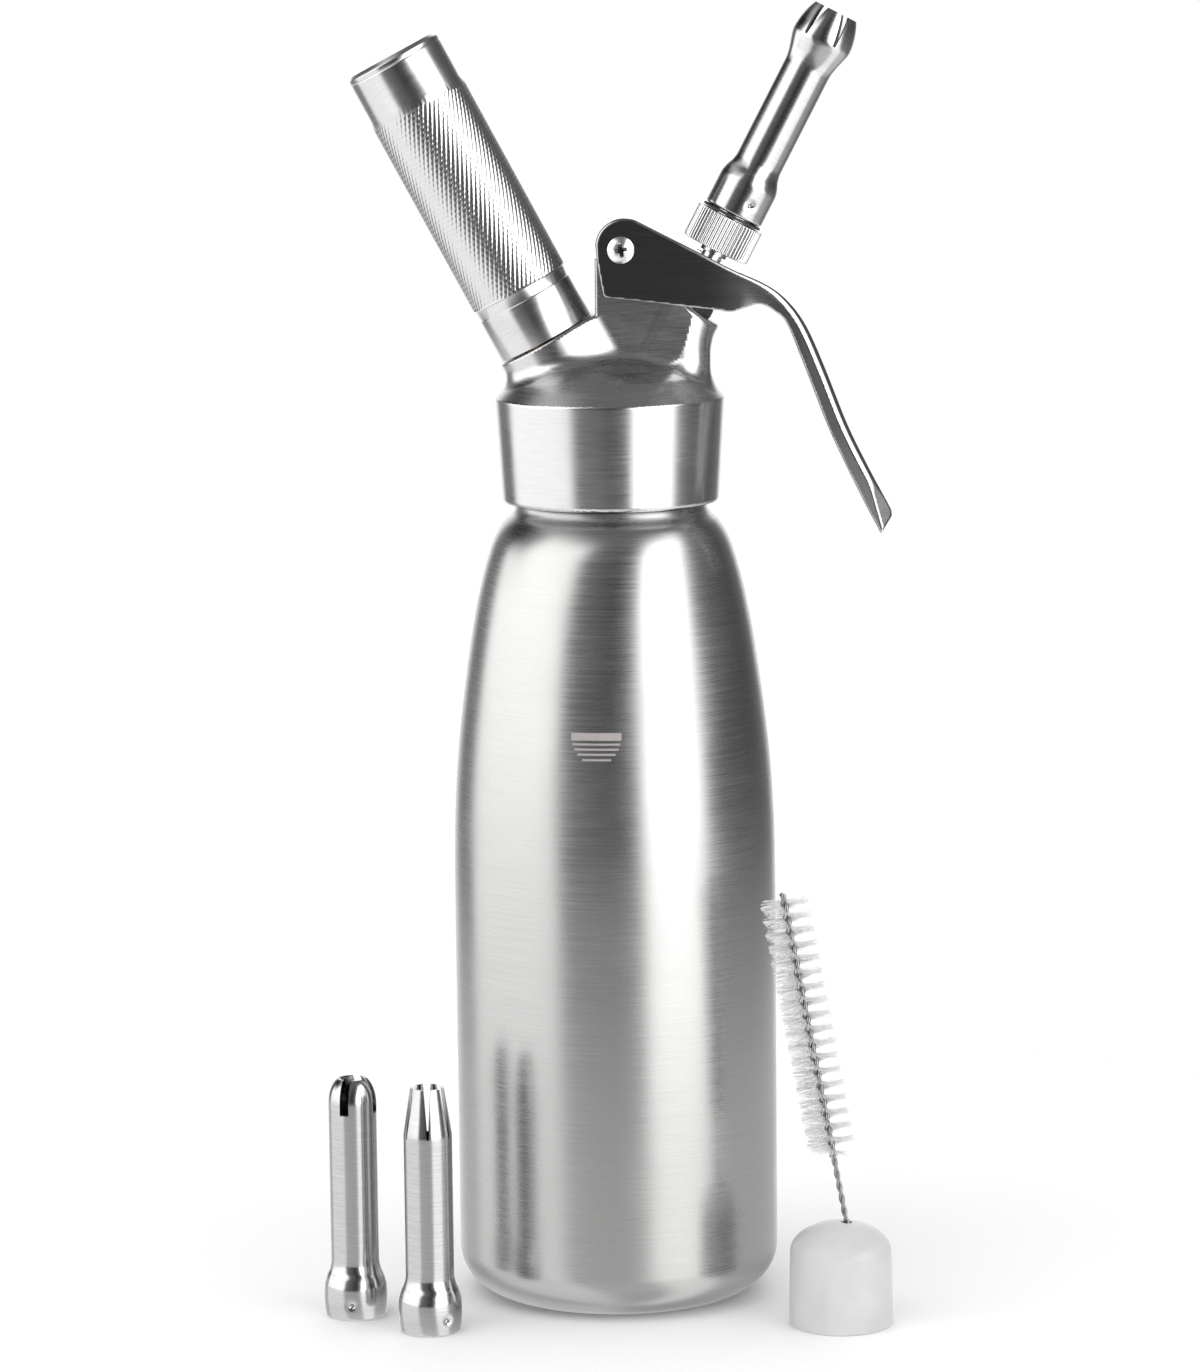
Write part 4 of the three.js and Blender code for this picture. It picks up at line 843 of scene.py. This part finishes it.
handle_plan = flowing([(-20, 12.8), (12, 12.8), (22, 12.75), (32, 12.3), (42, 11.3), (56, 9.75), (68, 8.65),
                       (80, 7.8), (95, 6.8)], 20)
plan_x, plan_half = np.array(handle_plan).T
tip_a, tip_b, tip_c = (np.array(q) for q in ((73.5, 8.25, 230.0), (79.1, 5.1, 224.2), (75.9, 8.0, 218.3)))
tip_normal = np.cross(tip_b - tip_a, tip_c - tip_a)
tip_normal = tip_normal / np.linalg.norm(tip_normal) * np.sign(tip_normal[0])


def lever_distance(p):
    """The distance from the lever, negative within its sheet."""
    x, y, z = p
    back = outline_distance(x, z, lever_back)
    as_handle = np.clip((x - cheek_end) / (handle_start - cheek_end), 0, 1)
    as_handle = as_handle * as_handle * (3 - 2 * as_handle)
    bend_r = cheek_bend_r + as_handle * (handle_bend_r - cheek_bend_r)
    side = taper_cos * (np.abs(y) - np.interp(x, plan_x, plan_half))
    side = side + as_handle * handle_lean * np.maximum(-back - handle_bend_r, 0)
    facet = sum(n * (q - a) for n, q, a in zip(tip_normal, (x, np.abs(y), z), tip_a))
    outer = edged(edged(back, side, bend_r), facet, 0.3)
    inner = np.minimum(back + sheet, np.maximum(z - hinge_z, x - hinge_x))
    hollow = edged(edged(inner, side + sheet, inner_bend_r), facet + sheet, 0.3)
    u, v, w = across_line(valve_line, p)
    slot = np.hypot(np.maximum(np.abs(u + stem_slot_run / 2) - stem_slot_run / 2, 0), v) - stem_slot_r
    slot = np.maximum(slot, np.abs(w - stem_slot_height) - stem_slot_reach)
    pin_bore = np.hypot(x - hinge_x, z - hinge_z) - hinge_bore_r
    body = edged(outer, outline_distance(x, z, lever_belly), 0.45)
    return edged(edged(body, -hollow, 0.45), -np.minimum(slot, pin_bore), 0.3)


lever_steel = metal("lever_steel", 0.44, 0.1, scratch=0.04, length=30, spacing=0.6, marks=14, relief=0.06)[0]
show_skin("squeeze_lever", skin(lever_distance, (-5, -14, 216), (81, 14, 311), 0.5), "lever", "lever_steel",
          lever_steel, "lever")

# Hinge screw and cap nut. A turned steel screw with a domed head and a cross recess goes through both cheeks
# and the post, and a hexagonal cap nut holds it at the back.
screw_steel, screw_shader, screw_place = metal(
    "screw_steel", 0.72, 0.24, scratch=0.05, length=3, spacing=0.2, marks=4, relief=0.12)
cheek_face = lever_half + seam
screw_r, screw_head_r, screw_head_rim, screw_head_rise, screw_end = 2.4, 3.75, 0.7, 2.0, 16.2
cross_reach, cross_half, cross_depth, cross_foot_reach, cross_foot_half = 2.4, 0.55, 1.2, 0.75, 0.28
head_dome_rise = screw_head_rise - screw_head_rim
screw_dome = (screw_head_r ** 2 + head_dome_rise ** 2) / (2 * head_dome_rise)
screw_centre = (hinge_x, screw_dome - cheek_face - screw_head_rise, hinge_z)
# Painted shade: the screw's base colour falls to 0.12 of itself inside the cross recess, deeper than about
# 0.45 mm under the dome.
from_centre = node(screw_place.tree, "VectorMath", {0: screw_place, 1: Vector(screw_centre) * mm},
                   operation="DISTANCE")["Value"]
painted_recess_shade = ranged(from_centre, 0.12, 1.0, (screw_dome - 0.45) * mm, (screw_dome - 0.1) * mm)
plug(screw_shader, {"Base Color": scaled(plugged(screw_shader, "Base Color"), painted_recess_shade)})


def dome_over(radius, foot, rise, steps=8):
    """The profile of a dome of a given rise over a radius, up to its top."""
    sphere_r = (radius ** 2 + rise ** 2) / (2 * rise)
    centre = foot + rise - sphere_r
    return [(r, centre + math.sqrt(sphere_r ** 2 - r * r)) for r in np.linspace(radius, 0, steps)]


def cross_cutter():
    """A tapered cross, which cuts the recess of a cross-head screw. Its open end is at nil height."""
    corners = []
    for reach, half, z in ((cross_foot_reach, cross_foot_half, -cross_depth), (cross_reach, cross_half, 0.0),
                           (cross_reach, cross_half, 0.8)):
        arm = (reach, -half), (reach, half), (half, half)
        for c, s in ((1, 0), (0, 1), (-1, 0), (0, -1)):
            corners += [(a * c - b * s, a * s + b * c, z) for a, b in arm]
    ring = len(corners) // 3
    faces = [list(range(ring))[::-1], list(range(2 * ring, 3 * ring))]
    for i in range(2 * ring):
        j = i + 1 if (i + 1) % ring else i + 1 - ring
        faces.append([i, j, j + ring, i + ring])
    return raw_mesh(corners, faces)


def cut_tree():
    """Cuts copies of a cutter, turned round +Z, out of a mesh."""
    tree, given = new_tree("cut_round", "Geometry", ["Geometry"], Geometry="Geometry", Cutter="Object",
                           Copies=1, Turn=0.0, Finish="Material")
    cutter = node(tree, "GeometryNodeObjectInfo", {"Object": given["Cutter"]})["Geometry"]
    places = node(tree, "GeometryNodeMeshLine", {"Count": given["Copies"], "Offset": (0, 0, 0)})
    share = node(tree, "GeometryNodeInputIndex") / given["Copies"]
    rotation = node(tree, "CombineXYZ", {2: calculated("MULTIPLY_ADD", share, 2 * math.pi, given["Turn"])})
    copies = node(tree, "GeometryNodeInstanceOnPoints", {
        "Points": places, "Instance": cutter, "Rotation": rotation})
    cut = node(tree, "GeometryNodeMeshBoolean", {
        "Mesh 1": given["Geometry"], "Mesh 2": node(tree, "GeometryNodeRealizeInstances", {0: copies}),
    }, operation="DIFFERENCE", solver="EXACT")
    return dressed(tree, cut, given["Finish"])


cut_round = cut_tree()


def cut_by(mesh, cutter_mesh, copies, turn, finish):
    """The mesh with copies of a cutter taken out of it, the first of them turned by so many degrees."""
    cutter = placed("cutter", joined(
        cutter_mesh, rework=lambda work: bmesh.ops.recalc_face_normals(work, faces=work.faces)))
    result = grown(cut_round, mesh, cutter=cutter, copies=copies, turn=math.radians(turn), finish=finish)
    bpy.data.objects.remove(cutter)
    return result


screw_rim = cheek_face + screw_head_rim
screw_profile = (
    [(0, -screw_end), (1.9, -screw_end), (screw_r, -screw_end + 0.5), (screw_r, cheek_face - 0.01)]
    + eased([(screw_r, cheek_face), (screw_head_r - 0.1, cheek_face), (screw_head_r, cheek_face + 0.1),
             (screw_head_r, screw_rim)], 0.1)[:-1]
    + dome_over(screw_head_r, screw_rim, head_dome_rise, 12)
)
recess_place = (0, 0, cheek_face + screw_head_rise - 0.12)
recess = moved(cross_cutter(), recess_place, 12, "Z")
screw_mesh = cut_by(plain_mesh(*turned(screw_profile, 96)), recess, 1, 0.0, screw_steel)
screw_mesh = moved(screw_mesh, (hinge_x, 0, hinge_z), 90, "X")
show("cross_head_screw", screw_mesh, "head", screw_steel, "hinge_screw", crease=28)

nut_flat_r, nut_corner_r, nut_bore_r, nut_dome_r = 3.64, 4.2, 2.7, 3.4
nut_hex_top, nut_dome_rise, nut_top = 15.2, 2.25, 17.1
nut_profile = eased([(nut_bore_r, cheek_face), (3.3, cheek_face), (nut_corner_r, cheek_face + 0.4),
                     (nut_corner_r, nut_hex_top), (nut_dome_r + 0.1, nut_hex_top + 0.4)], 0.1)
nut_profile += dome_over(nut_dome_r, nut_hex_top + 0.45, nut_dome_rise, 10)
nut_inside = [(0, nut_top - 0.1), (1.9, nut_top - 0.2), (nut_bore_r, 16.4), (nut_bore_r, cheek_face)]
nut_points, nut_faces = turned(nut_profile + nut_inside, 96)
nut_turn = np.arctan2(nut_points[:, 1], nut_points[:, 0])
nut_flat = nut_flat_r / np.cos((nut_turn + math.pi / 6) % (math.pi / 3) - math.pi / 6)
nut_out = np.hypot(nut_points[:, 0], nut_points[:, 1])
nut_points[:, :2] *= np.where(nut_out > nut_flat, nut_flat / np.maximum(nut_out, 0.01), 1)[:, None]
nut_mesh = moved(plain_mesh(nut_points, nut_faces), (hinge_x, 0, hinge_z), -90, "X")
show("hinge_cap_nut", nut_mesh, "head", screw_steel, "hinge_nut", crease=28)

# Adaptor. A turned nut with straight ribs round it, which screws on the stem. Below it is a short neck, and
# above it the threaded spigot that the nozzle screws on.
adaptor_r, adaptor_foot, adaptor_top, adaptor_ribs, rib_depth = 9.8, 18.4, 28.25, 52, 0.42
neck_r, neck_end, spigot_r, spigot_top = 3.95, 17, 5.6, 36.25
adaptor_bore_r, adaptor_bore_end, spigot_bore_r = 3.3, 27.9, 1.8
adaptor_metal = metal("adaptor_aluminium", 0.76, 0.22, scratch=0.04, length=3, spacing=0.15, marks=5,
                      relief=0.1, **valve_at)[0]
rib_rows = np.linspace(adaptor_foot + 0.45, adaptor_top - 0.45, 22)
adaptor_profile = (
    eased([(adaptor_bore_r, neck_end), (neck_r, neck_end), (neck_r, adaptor_foot),
           (adaptor_r - 0.45, adaptor_foot)], 0.15)[:-1]
    + [(adaptor_r - 0.45, adaptor_foot), (adaptor_r - 0.1, adaptor_foot + 0.15)]
    + [(adaptor_r, z) for z in rib_rows]
    + [(adaptor_r - 0.1, adaptor_top - 0.15), (adaptor_r - 0.45, adaptor_top), (spigot_r, adaptor_top)]
    + eased([(spigot_r, adaptor_top + 0.3), (spigot_r, spigot_top), (spigot_bore_r, spigot_top),
             (spigot_bore_r, adaptor_bore_end), (adaptor_bore_r, adaptor_bore_end),
             (adaptor_bore_r, neck_end + 0.02)], 0.3)
)
adaptor_nut = plain_mesh(*turned(adaptor_profile, adaptor_ribs * 8))
adaptor_nut = grown(knurl, adaptor_nut, ridges=adaptor_ribs, depth=rib_depth * mm, foot=adaptor_foot * mm,
                    top=adaptor_top * mm, radius=adaptor_r * mm, finish=adaptor_metal)
adaptor_mesh = joined(adaptor_nut, coiled(spigot_r - 0.05, 30.2, 4, 2, 0.5, adaptor_metal, sides=6))
show("ribbed_adaptor", tilted(adaptor_mesh, valve_line), "adaptor", adaptor_metal,
     "adaptor")
finish_node("adaptor_seal", black_rubber)

# Nozzle ring. A thin moulded ring of black rubber that lies on the adaptor round its spigot, and seals the
# nozzle's base.
ring_bore_r, ring_r, ring_foot, ring_top = 6.6, 8.75, 28.55, 29.2
ring_mesh = moulded_ring(ring_bore_r, ring_r, ring_foot, ring_top, 0.25)
show("nozzle_ring_black", tilted(ring_mesh, valve_line), "nozzle_ring", black_rubber,
     "nozzle_seal")

# Nozzles. Each is drawn from stainless tube: a wide base dimpled onto its threaded insert, a flare, a tube
# and a slotted tip. The tulip, which screws on the adaptor, swells and closes again. The spare dome closes
# in, the spare star tapers, and both stand on the floor.
nozzle_wall, nozzle_base_r, nozzle_tube_r, nozzle_sides = 0.8, 8.6, 6.8, 192
nozzle_flare_top = 15.0
dimple_height, dimple_r, dimple_hole_r, dimple_depth = 4.4, 2.3, 0.8, 0.75
nozzle_foot, tulip_length, dome_length, star_length = 29.5, 63.0, 68.4, 69.6
spare_places = {"dome": (-74.9, -30.4, 0), "star": (-53.2, -47.9, 0)}


def nozzle_outline(tip, bulge):
    """The outside of a nozzle, from foot to tip. Its base bulges a little between foot and flare."""
    foot = arc(nozzle_base_r - 0.8, 0.8, 0.8, -90, 0, 8)
    swell = np.arange(1.2, 8.6, 0.25)
    base = [(nozzle_base_r + bulge * math.sin(math.pi * (z - 0.8) / 9.2) ** 0.8, z) for z in swell]
    flare = flowing([(nozzle_base_r + 0.35 * bulge, 9.2), (nozzle_base_r - 0.12, 10.1), (8.0, 11.7),
                     (7.35, 13.2), (nozzle_tube_r + 0.1, nozzle_flare_top), (nozzle_tube_r, 16.2)], 4)
    return foot + base + flare + tip


def dimpled(points, first_turn):
    """The points with three dimples pressed into the base, each with a soft rim and a small pit."""
    angle = np.arctan2(points[:, 1], points[:, 0])
    out = np.hypot(points[:, 0], points[:, 1])
    for turn in range(3):
        off = (angle - first_turn - turn * 2 * math.pi / 3 + math.pi) % (2 * math.pi) - math.pi
        away = np.hypot(off * nozzle_base_r, points[:, 2] - dimple_height)
        soft = np.clip(1 - away / dimple_r, 0, 1)
        pit = np.clip(1.4 * (1 - away / dimple_hole_r), 0, 1)
        depth = dimple_depth * (0.55 * soft * soft * (3 - 2 * soft) + 0.75 * pit * pit * (3 - 2 * pit))
        points[:, :2] *= (1 - depth / np.maximum(out, 1))[:, None]
    return points


def wedge(foot, tip, foot_width, tip_width, reach=11.0):
    """The cutter of a slot, from the nozzle's axis outwards along +X."""
    corners = [
        (x, side * width / 2, z)
        for z, width in ((foot, foot_width), (tip + 2, tip_width)) for x in (0.5, reach) for side in (-1, 1)
    ]
    faces = [(0, 2, 3, 1), (4, 5, 7, 6), (0, 1, 5, 4), (2, 6, 7, 3), (0, 4, 6, 2), (1, 3, 7, 5)]
    return raw_mesh(corners, faces)


def nozzle_mesh(tube_top, tip, slots, slot, slot_turn, dimple_turn, finish, bulge=0.35):
    """A nozzle with its foot at nil height. A slot is its foot, its width there and its width at the tip."""
    tube = [(nozzle_tube_r, z) for z in np.arange(18, tube_top, 4)]
    outside = nozzle_outline(tube + tip, bulge)
    inside = [(max(r - nozzle_wall, 0.1), z) for r, z in reversed(outside) if z > 1.4]
    lip_r, lip_z = outside[-1]
    lip = [(lip_r - 0.25 * nozzle_wall, lip_z + 0.02), (lip_r - 0.75 * nozzle_wall, lip_z + 0.02)]
    foot = [(nozzle_base_r - nozzle_wall, 0.4), (nozzle_base_r - nozzle_wall - 0.3, 0)]
    points, faces = turned(outside + lip + inside + foot, nozzle_sides, closed=True)
    mesh = plain_mesh(dimpled(points, math.radians(dimple_turn)), faces)
    return cut_by(mesh, wedge(slot[0], lip_z, *slot[1:]), slots, slot_turn, finish)


def nozzle_metal(name, **place):
    """The drawn steel of a nozzle, with its grain round the nozzle's own line."""
    return metal(name, 0.47, 0.17, scratch=0.05, length=8, spacing=0.3, marks=7, relief=0.1, **place)[0]


tulip_steel = nozzle_metal("tulip_steel", **valve_at)
tulip_tip = flowing([(nozzle_tube_r, 44.0), (6.85, 46.2), (7.3, 48.6), (8.05, 51.2), (8.6, 53.2),
                     (8.72, 54.6), (8.5, 56.8), (7.95, 59.2), (7.2, 61.4), (6.45, tulip_length)], 5)
tulip = nozzle_mesh(43, tulip_tip, 6, (54, 0.8, 2.9), -36 - 90, -68, tulip_steel, bulge=0)
show("tulip_spout", tilted(moved(tulip, (0, 0, nozzle_foot)), valve_line), "nozzle",
     tulip_steel, "tulip_nozzle", crease=40)

dome_start, dome_mouth_r = 61.3, 4.2
dome_in, dome_rise = (nozzle_tube_r - dome_mouth_r) / 0.5, (dome_length - dome_start) / 0.866
dome_tip = [(nozzle_tube_r, 58.0)] + [
    (dome_mouth_r + (math.cos(a) - 0.5) * dome_in, dome_start + math.sin(a) * dome_rise)
    for a in np.radians(np.linspace(0, 60, 14))
]
star_tip = flowing([(nozzle_tube_r, 54.0), (nozzle_tube_r, 55.6), (6.68, 57.0), (6.0, 61.4),
                    (4.7, star_length)], 5)
for kind, tube_top, tip, slots, slot, slot_turn, dimple_turn in (
    ("dome", 57, dome_tip, 4, (58.8, 2.6, 2.6), -18 - 90, -5 - 90),
    ("star", 51, star_tip, 6, (55.6, 0.4, 2.4), 2 - 90, 35 - 90),
):
    spare_steel = nozzle_metal(f"{kind}_steel", centre=spare_places[kind])
    mesh = nozzle_mesh(tube_top, tip, slots, slot, slot_turn, dimple_turn, spare_steel)
    show(f"{kind}_spout", moved(mesh, spare_places[kind]), f"{kind}_spare", spare_steel,
         f"{kind}_nozzle", crease=40)

# Nozzle inserts. Threaded steel rings, pressed into the nozzles' bases and held there by the three dimples.
# Their solids have the right shapes.
for kind in ("tulip", "dome", "star"):
    place = {"centre": spare_places[kind]} if kind in spare_places else valve_at
    finish_node(f"{kind}_insert", metal(f"{kind}_insert_steel", 0.5, 0.3, spacing=0.2, **place)[0])

# Brush cap. A milky moulded plastic dome, open below, with a hole on top that the brush leans in. The light
# goes a little way into it.
cap_x, cap_y, cap_r, cap_top_r, cap_side, cap_height = 62.0, -45.0, 14.7, 14.2, 20.5, 29.0
cap_wall, cap_hole_r = 1.6, 1.6
brush_line = (68.9, 0.3, -10.5)
cap_plastic = moulded("cap_plastic", (90.0, 3.0), (1500.0, 2.0), (0.54, 0.6), (0.32, 0.42), relief=0.15,
                      milky=0.25, milky_depth=3)


def cap_arch(inset, steps):
    """The dome's profile, from its side up to its top, set in by the wall."""
    turns = np.radians(np.linspace(0, 90, steps))
    radius, rise = cap_top_r - inset, cap_height - cap_side - inset
    return [(radius * math.cos(a), cap_side + rise * math.sin(a)) for a in turns]


cap_profile = ([(cap_r - cap_wall, 0.3), (cap_r - cap_wall + 0.3, 0), (cap_r - 0.3, 0), (cap_r, 0.3)]
               + cap_arch(0, 24) + cap_arch(cap_wall, 16)[::-1] + [(cap_r - cap_wall, 0.3)])
cap_mesh = moved(plain_mesh(*turned(cap_profile, 128)), (cap_x, cap_y, 0))
drill = plain_mesh(*turned([(0, 15), (cap_hole_r, 15), (cap_hole_r, 40), (0, 40)], 48))
cap_mesh = cut_by(cap_mesh, tilted(drill, brush_line, cap_y), 1, 0.0, cap_plastic)
show("cap_dome", cap_mesh, "cap", cap_plastic, "brush_cap")

# Twisted wire. The brush's stem is two steel wires twisted together, loosely below and tightly among the
# bristles, which they grip.
brush_length, loose_length, loose_half_turn, tight_half_turn = 124.4, 48.4, 1.8, 4.05
loose_strand_r, tight_strand_r = 0.44, 0.6
wire_steel = metal("wire_steel", 0.3, 0.25, length=2, spacing=0.2, tilt=brush_line[2],
                   centre=(brush_line[0], cap_y, brush_line[1]))[0]
strands = []
for foot, length, half_turn, strand_r in (
    (0, loose_length, 2 * loose_half_turn, loose_strand_r),
    (loose_length, brush_length - loose_length, tight_half_turn, tight_strand_r),
):
    strand = coiled(strand_r * 0.92, foot, length, length / (2 * half_turn), strand_r, wire_steel, sides=10,
                    per_turn=24, left=True)
    strands += [strand, moved(strand.copy(), (0, 0, 0), 180, "Z")]
show("twisted_wire", tilted(joined(*strands), brush_line, cap_y), "brush", wire_steel,
     "brush_wire", crease=60)

# Bristles. Thin nylon strands, gripped in pairs by the tight part of the wire, so that they stand out in a
# spiral.
bristle_foot, bristle_top, bristle_reach, bristle_turn = 49.6, 122.4, 7.0, 2 * tight_half_turn
bristle_count, bristle_r = 3000, 0.065


def bristle_tree():
    """Thin bent rods round +Z, in two spiral rows, each a little longer, bent and thrown its own way."""
    tree, given = new_tree("bristles", "Geometry", ["Mesh"], Count=2000, Foot=0.0, Top=0.1, Reach=0.01,
                           Turn=0.01, Section=0.0001, Seed=3, Finish="Material")

    def thrown(low, high, seed_step):
        seed = given["Seed"] + float(seed_step)
        return node(tree, "FunctionNodeRandomValue", {"Min": low, "Max": high, "Seed": seed})["Value"]

    number = node(tree, "GeometryNodeInputIndex")
    length = given["Top"] - given["Foot"]
    height = calculated("MULTIPLY_ADD", number / given["Count"], length, given["Foot"])
    height = height + thrown(-0.0006, 0.0006, 0)
    side = calculated("MODULO", number, 2.0) * math.pi
    turn = height / given["Turn"] * (-2 * math.pi) + side + thrown(-0.22, 0.22, 1)
    points = node(tree, "GeometryNodePoints", {"Count": given["Count"]})
    spread = node(tree, "GeometryNodeSetPosition", {
        "Geometry": points, "Position": node(tree, "CombineXYZ", {2: height})})
    strand = node(tree, "GeometryNodeCurveQuadraticBezier", {
        "Resolution": 4, "Start": (0, 0, 0), "Middle": (0.5, 0.0, 0.03), "End": (1, 0, 0)})
    rotation = node(tree, "CombineXYZ", {0: thrown(0.0, 6.28, 2), 1: thrown(-0.12, 0.12, 3), 2: turn})
    reach = given["Reach"] * thrown(0.93, 1.0, 4)
    copies = node(tree, "GeometryNodeInstanceOnPoints", {
        "Points": spread, "Instance": strand, "Rotation": rotation,
        "Scale": node(tree, "CombineXYZ", {0: reach, 1: reach, 2: reach})})
    real = node(tree, "GeometryNodeRealizeInstances", {0: copies})
    return dressed(tree, rod_along(tree, real, given["Section"], 4), given["Finish"])


white_nylon = moulded("white_nylon", (700.0, 2.0), (700.0, 2.0), (0.72, 0.84), (0.3, 0.45), milky=0.4)
bristle_mesh = grown(bristle_tree(), count=bristle_count, foot=bristle_foot * mm, top=bristle_top * mm,
                     reach=bristle_reach * mm, turn=bristle_turn * mm, section=bristle_r * mm,
                     finish=white_nylon)
show("nylon_bristles", tilted(bristle_mesh, brush_line, cap_y), "brush", white_nylon,
     "brush_bristles", crease=60)
